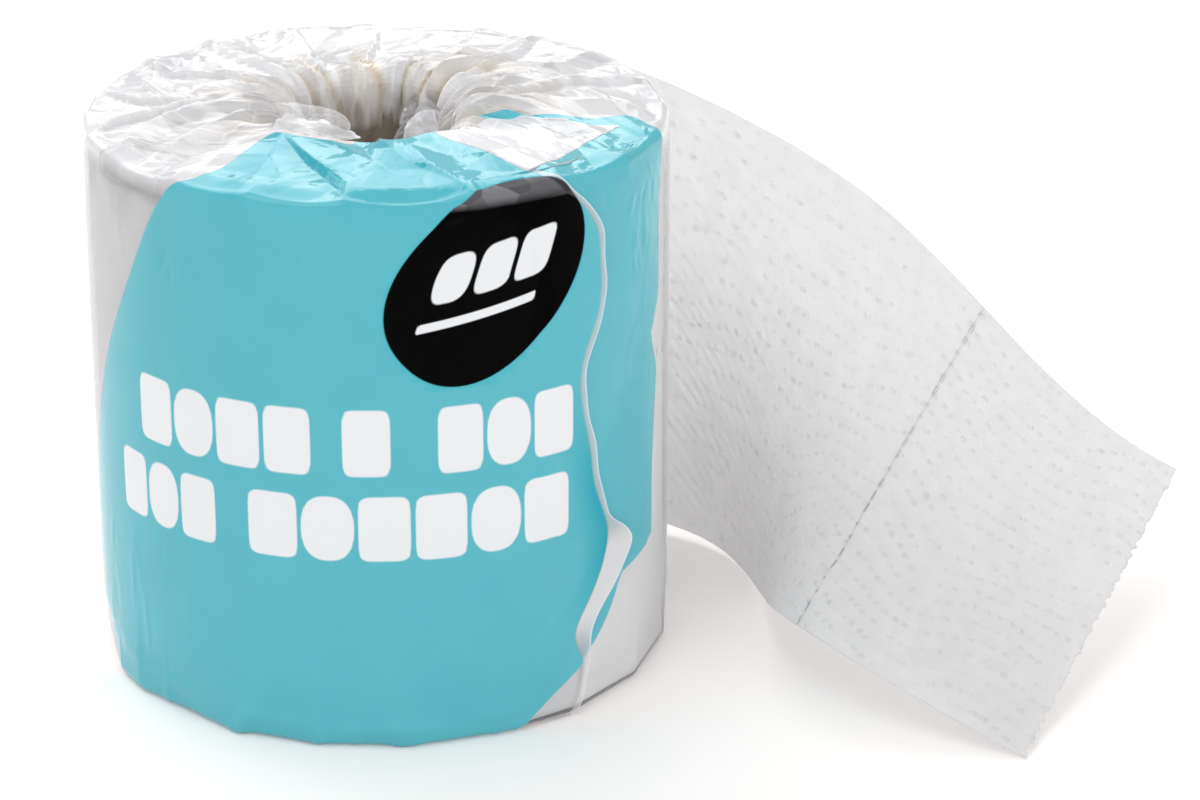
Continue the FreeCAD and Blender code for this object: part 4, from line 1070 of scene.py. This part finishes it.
def makeSheet(name, start, end, spacing, startCut, endCut):
    # A length of the web: its ruled surface moved along its own normal by the dots, soft swells and, near
    # the roll, ripples; less so at its two edges. A thickness is added to both sides.
    rows = int(round((end - start) / spacing)) + 1
    columns = int(round(web["width"] / spacing)) + 1
    across, along = np.meshgrid(np.linspace(0, web["width"], columns), np.linspace(start, end, rows))
    spread = np.linspace(0, 1, rows)[:, None]
    # a slit takes a bite out of each sheet's edge, so that only the narrow webs between slits join them
    inPitch = np.mod(across + 0.7 * np.sin(across * 1.9), web["slitPitch"])
    bite = riseAndFall(0.0, 0.25, web["slit"] - 0.25, web["slit"], inPitch) * web["slitGap"]
    tear = 0.35 * softNoise(across, across * 0, 55, 0.9) + 0.2 * softNoise(across, across * 0, 56, 0.45)
    # painted shade: the row along each row of slits is marked, to be painted darker grey
    paintedSlitShade = np.zeros_like(along)
    if startCut == "slits":
        along = along + bite * np.clip(1 - spread * rows / 3, 0, 1)
        paintedSlitShade[0] = bite[0] > 0.05
    if endCut == "slits":
        along = along - bite * np.clip(1 - (1 - spread) * rows / 3, 0, 1)
        paintedSlitShade[-1] = bite[0] > 0.05
    if endCut == "torn":
        along = along + tear * np.clip(1 - (1 - spread) * rows / 5, 0, 1)
    points = webSurface(along, across)
    normal = surfaceNormals(points)
    real = along * web["stretch"]
    dots = embossing(real, across)
    (tall, long), (lower, shorter) = web["swell"], web["smallSwell"]
    swell = tall * softNoise(real, across, 61, long) + lower * softNoise(real, across, 62, shorter)
    nearRoll = 1 - smoothStep(40, 90, along)
    sweep = (real * 0.72 + across * 0.55) * 2 * math.pi / web["ripplePitch"]
    ripple = web["ripple"] * np.sin(sweep + 2.0 * softNoise(real, across, 63, 7))
    ripple = ripple * np.clip(softNoise(real, across, 65, 2.6) + 0.6, 0, 1)
    rim = np.clip(np.minimum(across, web["width"] - across) / 2, 0, 1)
    ripple = nearRoll * ripple * (0.4 + 0.6 * np.abs(softNoise(real, across, 64, 6)))
    height = (dots + swell + ripple) * (0.3 + 0.7 * rim)
    hold = smoothStep(0, 8, along)
    points = points + normal * (height * hold)[..., None]
    flat = np.stack([across, real], axis=-1)
    piece = gridPiece(name, points, flat, {"paintedSlitShade": paintedSlitShade})
    thick = piece.modifiers.new("ply", "SOLIDIFY")
    thick.thickness = web["thickness"] * mm
    thick.offset = 0.0
    print(name, len(piece.data.polygons) * 4, "triangles")
    return piece


def flatLength(start, end):
    # mean over the width of the length along the surface, because the edges are longer than the middle
    across, along = np.meshgrid(np.linspace(0, web["width"], 50), np.linspace(start, end, 200))
    steps = np.diff(webSurface(along, across), axis=0)
    return float(np.linalg.norm(steps, axis=-1).sum(axis=0).mean())


perforated = webLength[web["perforation"]]
hidden = perforated - web["rowToRow"]
sheets = [
    ("paper_inner_sheet", 0.0, hidden, 0.8, None, "slits"),
    ("paper_pulled_sheet", hidden, perforated, web["spacing"], "slits", "slits"),
    ("paper_end_sheet", perforated, webLength[-1], 0.42, "slits", "torn"),
]
for name, start, end, spacing, startCut, endCut in sheets:
    piece = makeSheet(name, start, end, spacing, startCut, endCut)
    finishPiece(piece, tissue, "paper_roll")
    flatLength(start, end) * mm

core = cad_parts["core_tube"]
core.data.materials.clear()
core.data.materials.append(board)


stage = {"floorSize": 6.0, "horizon": 0.96, "zenith": 0.62, "behind": 0.63}


def makeFloor():
    material, tree = emptyMaterial("paleFloor")
    path = addNode(tree, "LightPath")
    surface = addNode(tree, "BsdfDiffuse", {"Color": toLinear("#F8F4F2")})
    # painted glow: an emission seen only by camera, glossy and transmission rays lifts the floor, a little
    # near the roll and up to the white of the tent far from it
    place = addNode(tree, "TexCoord")
    away = addNode(tree, "VectorMath", {"operation": "LENGTH"}, {0: place.outputs["Object"]})
    lifted = addNode(tree, "MapRange", {"interpolation_type": "SMOOTHSTEP", 1: 0.4, 2: 3.0, 3: 0.16, 4: 0.50},
                     {0: away.outputs["Value"]})
    paintedFloorGlow = addNode(tree, "Emission", {"Color": (1, 1, 1, 1)}, {"Strength": lifted})
    seen = addNode(tree, "Math", {"operation": "MAXIMUM"},
                   {0: path.outputs["Is Camera Ray"], 1: path.outputs["Is Glossy Ray"]})
    also = addNode(tree, "Math", {"operation": "MAXIMUM"},
                   {0: seen, 1: path.outputs["Is Transmission Ray"]})
    none = addNode(tree, "Emission", {"Strength": 0.0})
    pick = addNode(tree, "MixShader", {}, {0: also, 1: none, 2: paintedFloorGlow})
    total = addNode(tree, "AddShader", {}, {0: surface, 1: pick})
    addNode(tree, "OutputMaterial", {}, {"Surface": total})
    mesh = bpy.data.meshes.new("floor")
    half = stage["floorSize"]
    corners = [(-half, -half, 0), (half, -half, 0), (half, half, 0), (-half, half, 0)]
    mesh.from_pydata(corners, [], [(0, 1, 2, 3)])
    mesh.materials.append(material)
    floor = bpy.data.objects.new("floor", mesh)
    bpy.context.scene.collection.objects.link(floor)


def makeSky():
    # A studio tent: white at the height of the eye, greyer overhead, where the lamps take over
    world = bpy.data.worlds.new("studio")
    bpy.context.scene.world = world
    world.use_nodes = True
    tree = world.node_tree
    tree.nodes.clear()
    way = addNode(tree, "TexCoord")
    parts = addNode(tree, "SeparateXYZ", {}, {0: way.outputs["Generated"]})
    level = addNode(tree, "MapRange",
                    {"interpolation_type": "SMOOTHSTEP", 1: 0.15, 2: 0.75, 3: stage["horizon"],
                     4: stage["zenith"]},
                    {0: parts.outputs["Z"]})
    behind = addNode(tree, "MapRange",
                     {"interpolation_type": "SMOOTHSTEP", 1: 0.1, 2: 0.7, 3: 1.0, 4: stage["behind"]},
                     {0: parts.outputs["Y"]})
    both = addNode(tree, "Math", {"operation": "MULTIPLY"}, {0: level, 1: behind})
    light = addNode(tree, "Background", {"Color": (1, 1, 1, 1)}, {"Strength": both})
    addNode(tree, "OutputWorld", {}, {"Surface": light})


def addLamp(name, at, aim, size, power):
    lamp = bpy.data.lights.new(name, "AREA")
    lamp.shape = "RECTANGLE"
    lamp.size, lamp.size_y = size
    lamp.energy = power
    thing = bpy.data.objects.new(name, lamp)
    thing.location = at
    way = Vector(aim) - Vector(at)
    thing.rotation_euler = way.to_track_quat("-Z", "Y").to_euler()
    thing.visible_camera = False
    bpy.context.scene.collection.objects.link(thing)


# name, place, the point it faces, its two sides in metres and its power in watts
lamps = [
    ("softbox", (-0.35, 0.92, 0.95), (0.0, 0, 0.10), (1.5, 1.0), 11.5),
    ("overhead", (-0.35, -0.25, 1.20), (0.02, 0, 0.05), (0.8, 0.8), 3.0),
    ("frontRight", (0.95, -1.00, 0.50), (0.04, 0, 0.05), (0.9, 0.9), 3.0),
]
makeFloor()
makeSky()
for lamp in lamps:
    addLamp(*lamp)

eye = {"lens": 120.0, "sensor": 36.0, "near": 0.02, "far": 20.0, "place": (0.0410, -0.6991, 0.3295),
       "tilt": 67.95}
view = bpy.data.cameras.new("view")
view.lens, view.sensor_width = eye["lens"], eye["sensor"]
view.clip_start, view.clip_end = eye["near"], eye["far"]
camera = bpy.data.objects.new("view", view)
camera.location = eye["place"]
camera.rotation_euler = (math.radians(eye["tilt"]), 0, 0)
bpy.context.scene.collection.objects.link(camera)
bpy.context.scene.camera = camera
bpy.context.scene.view_settings.view_transform = "Standard"
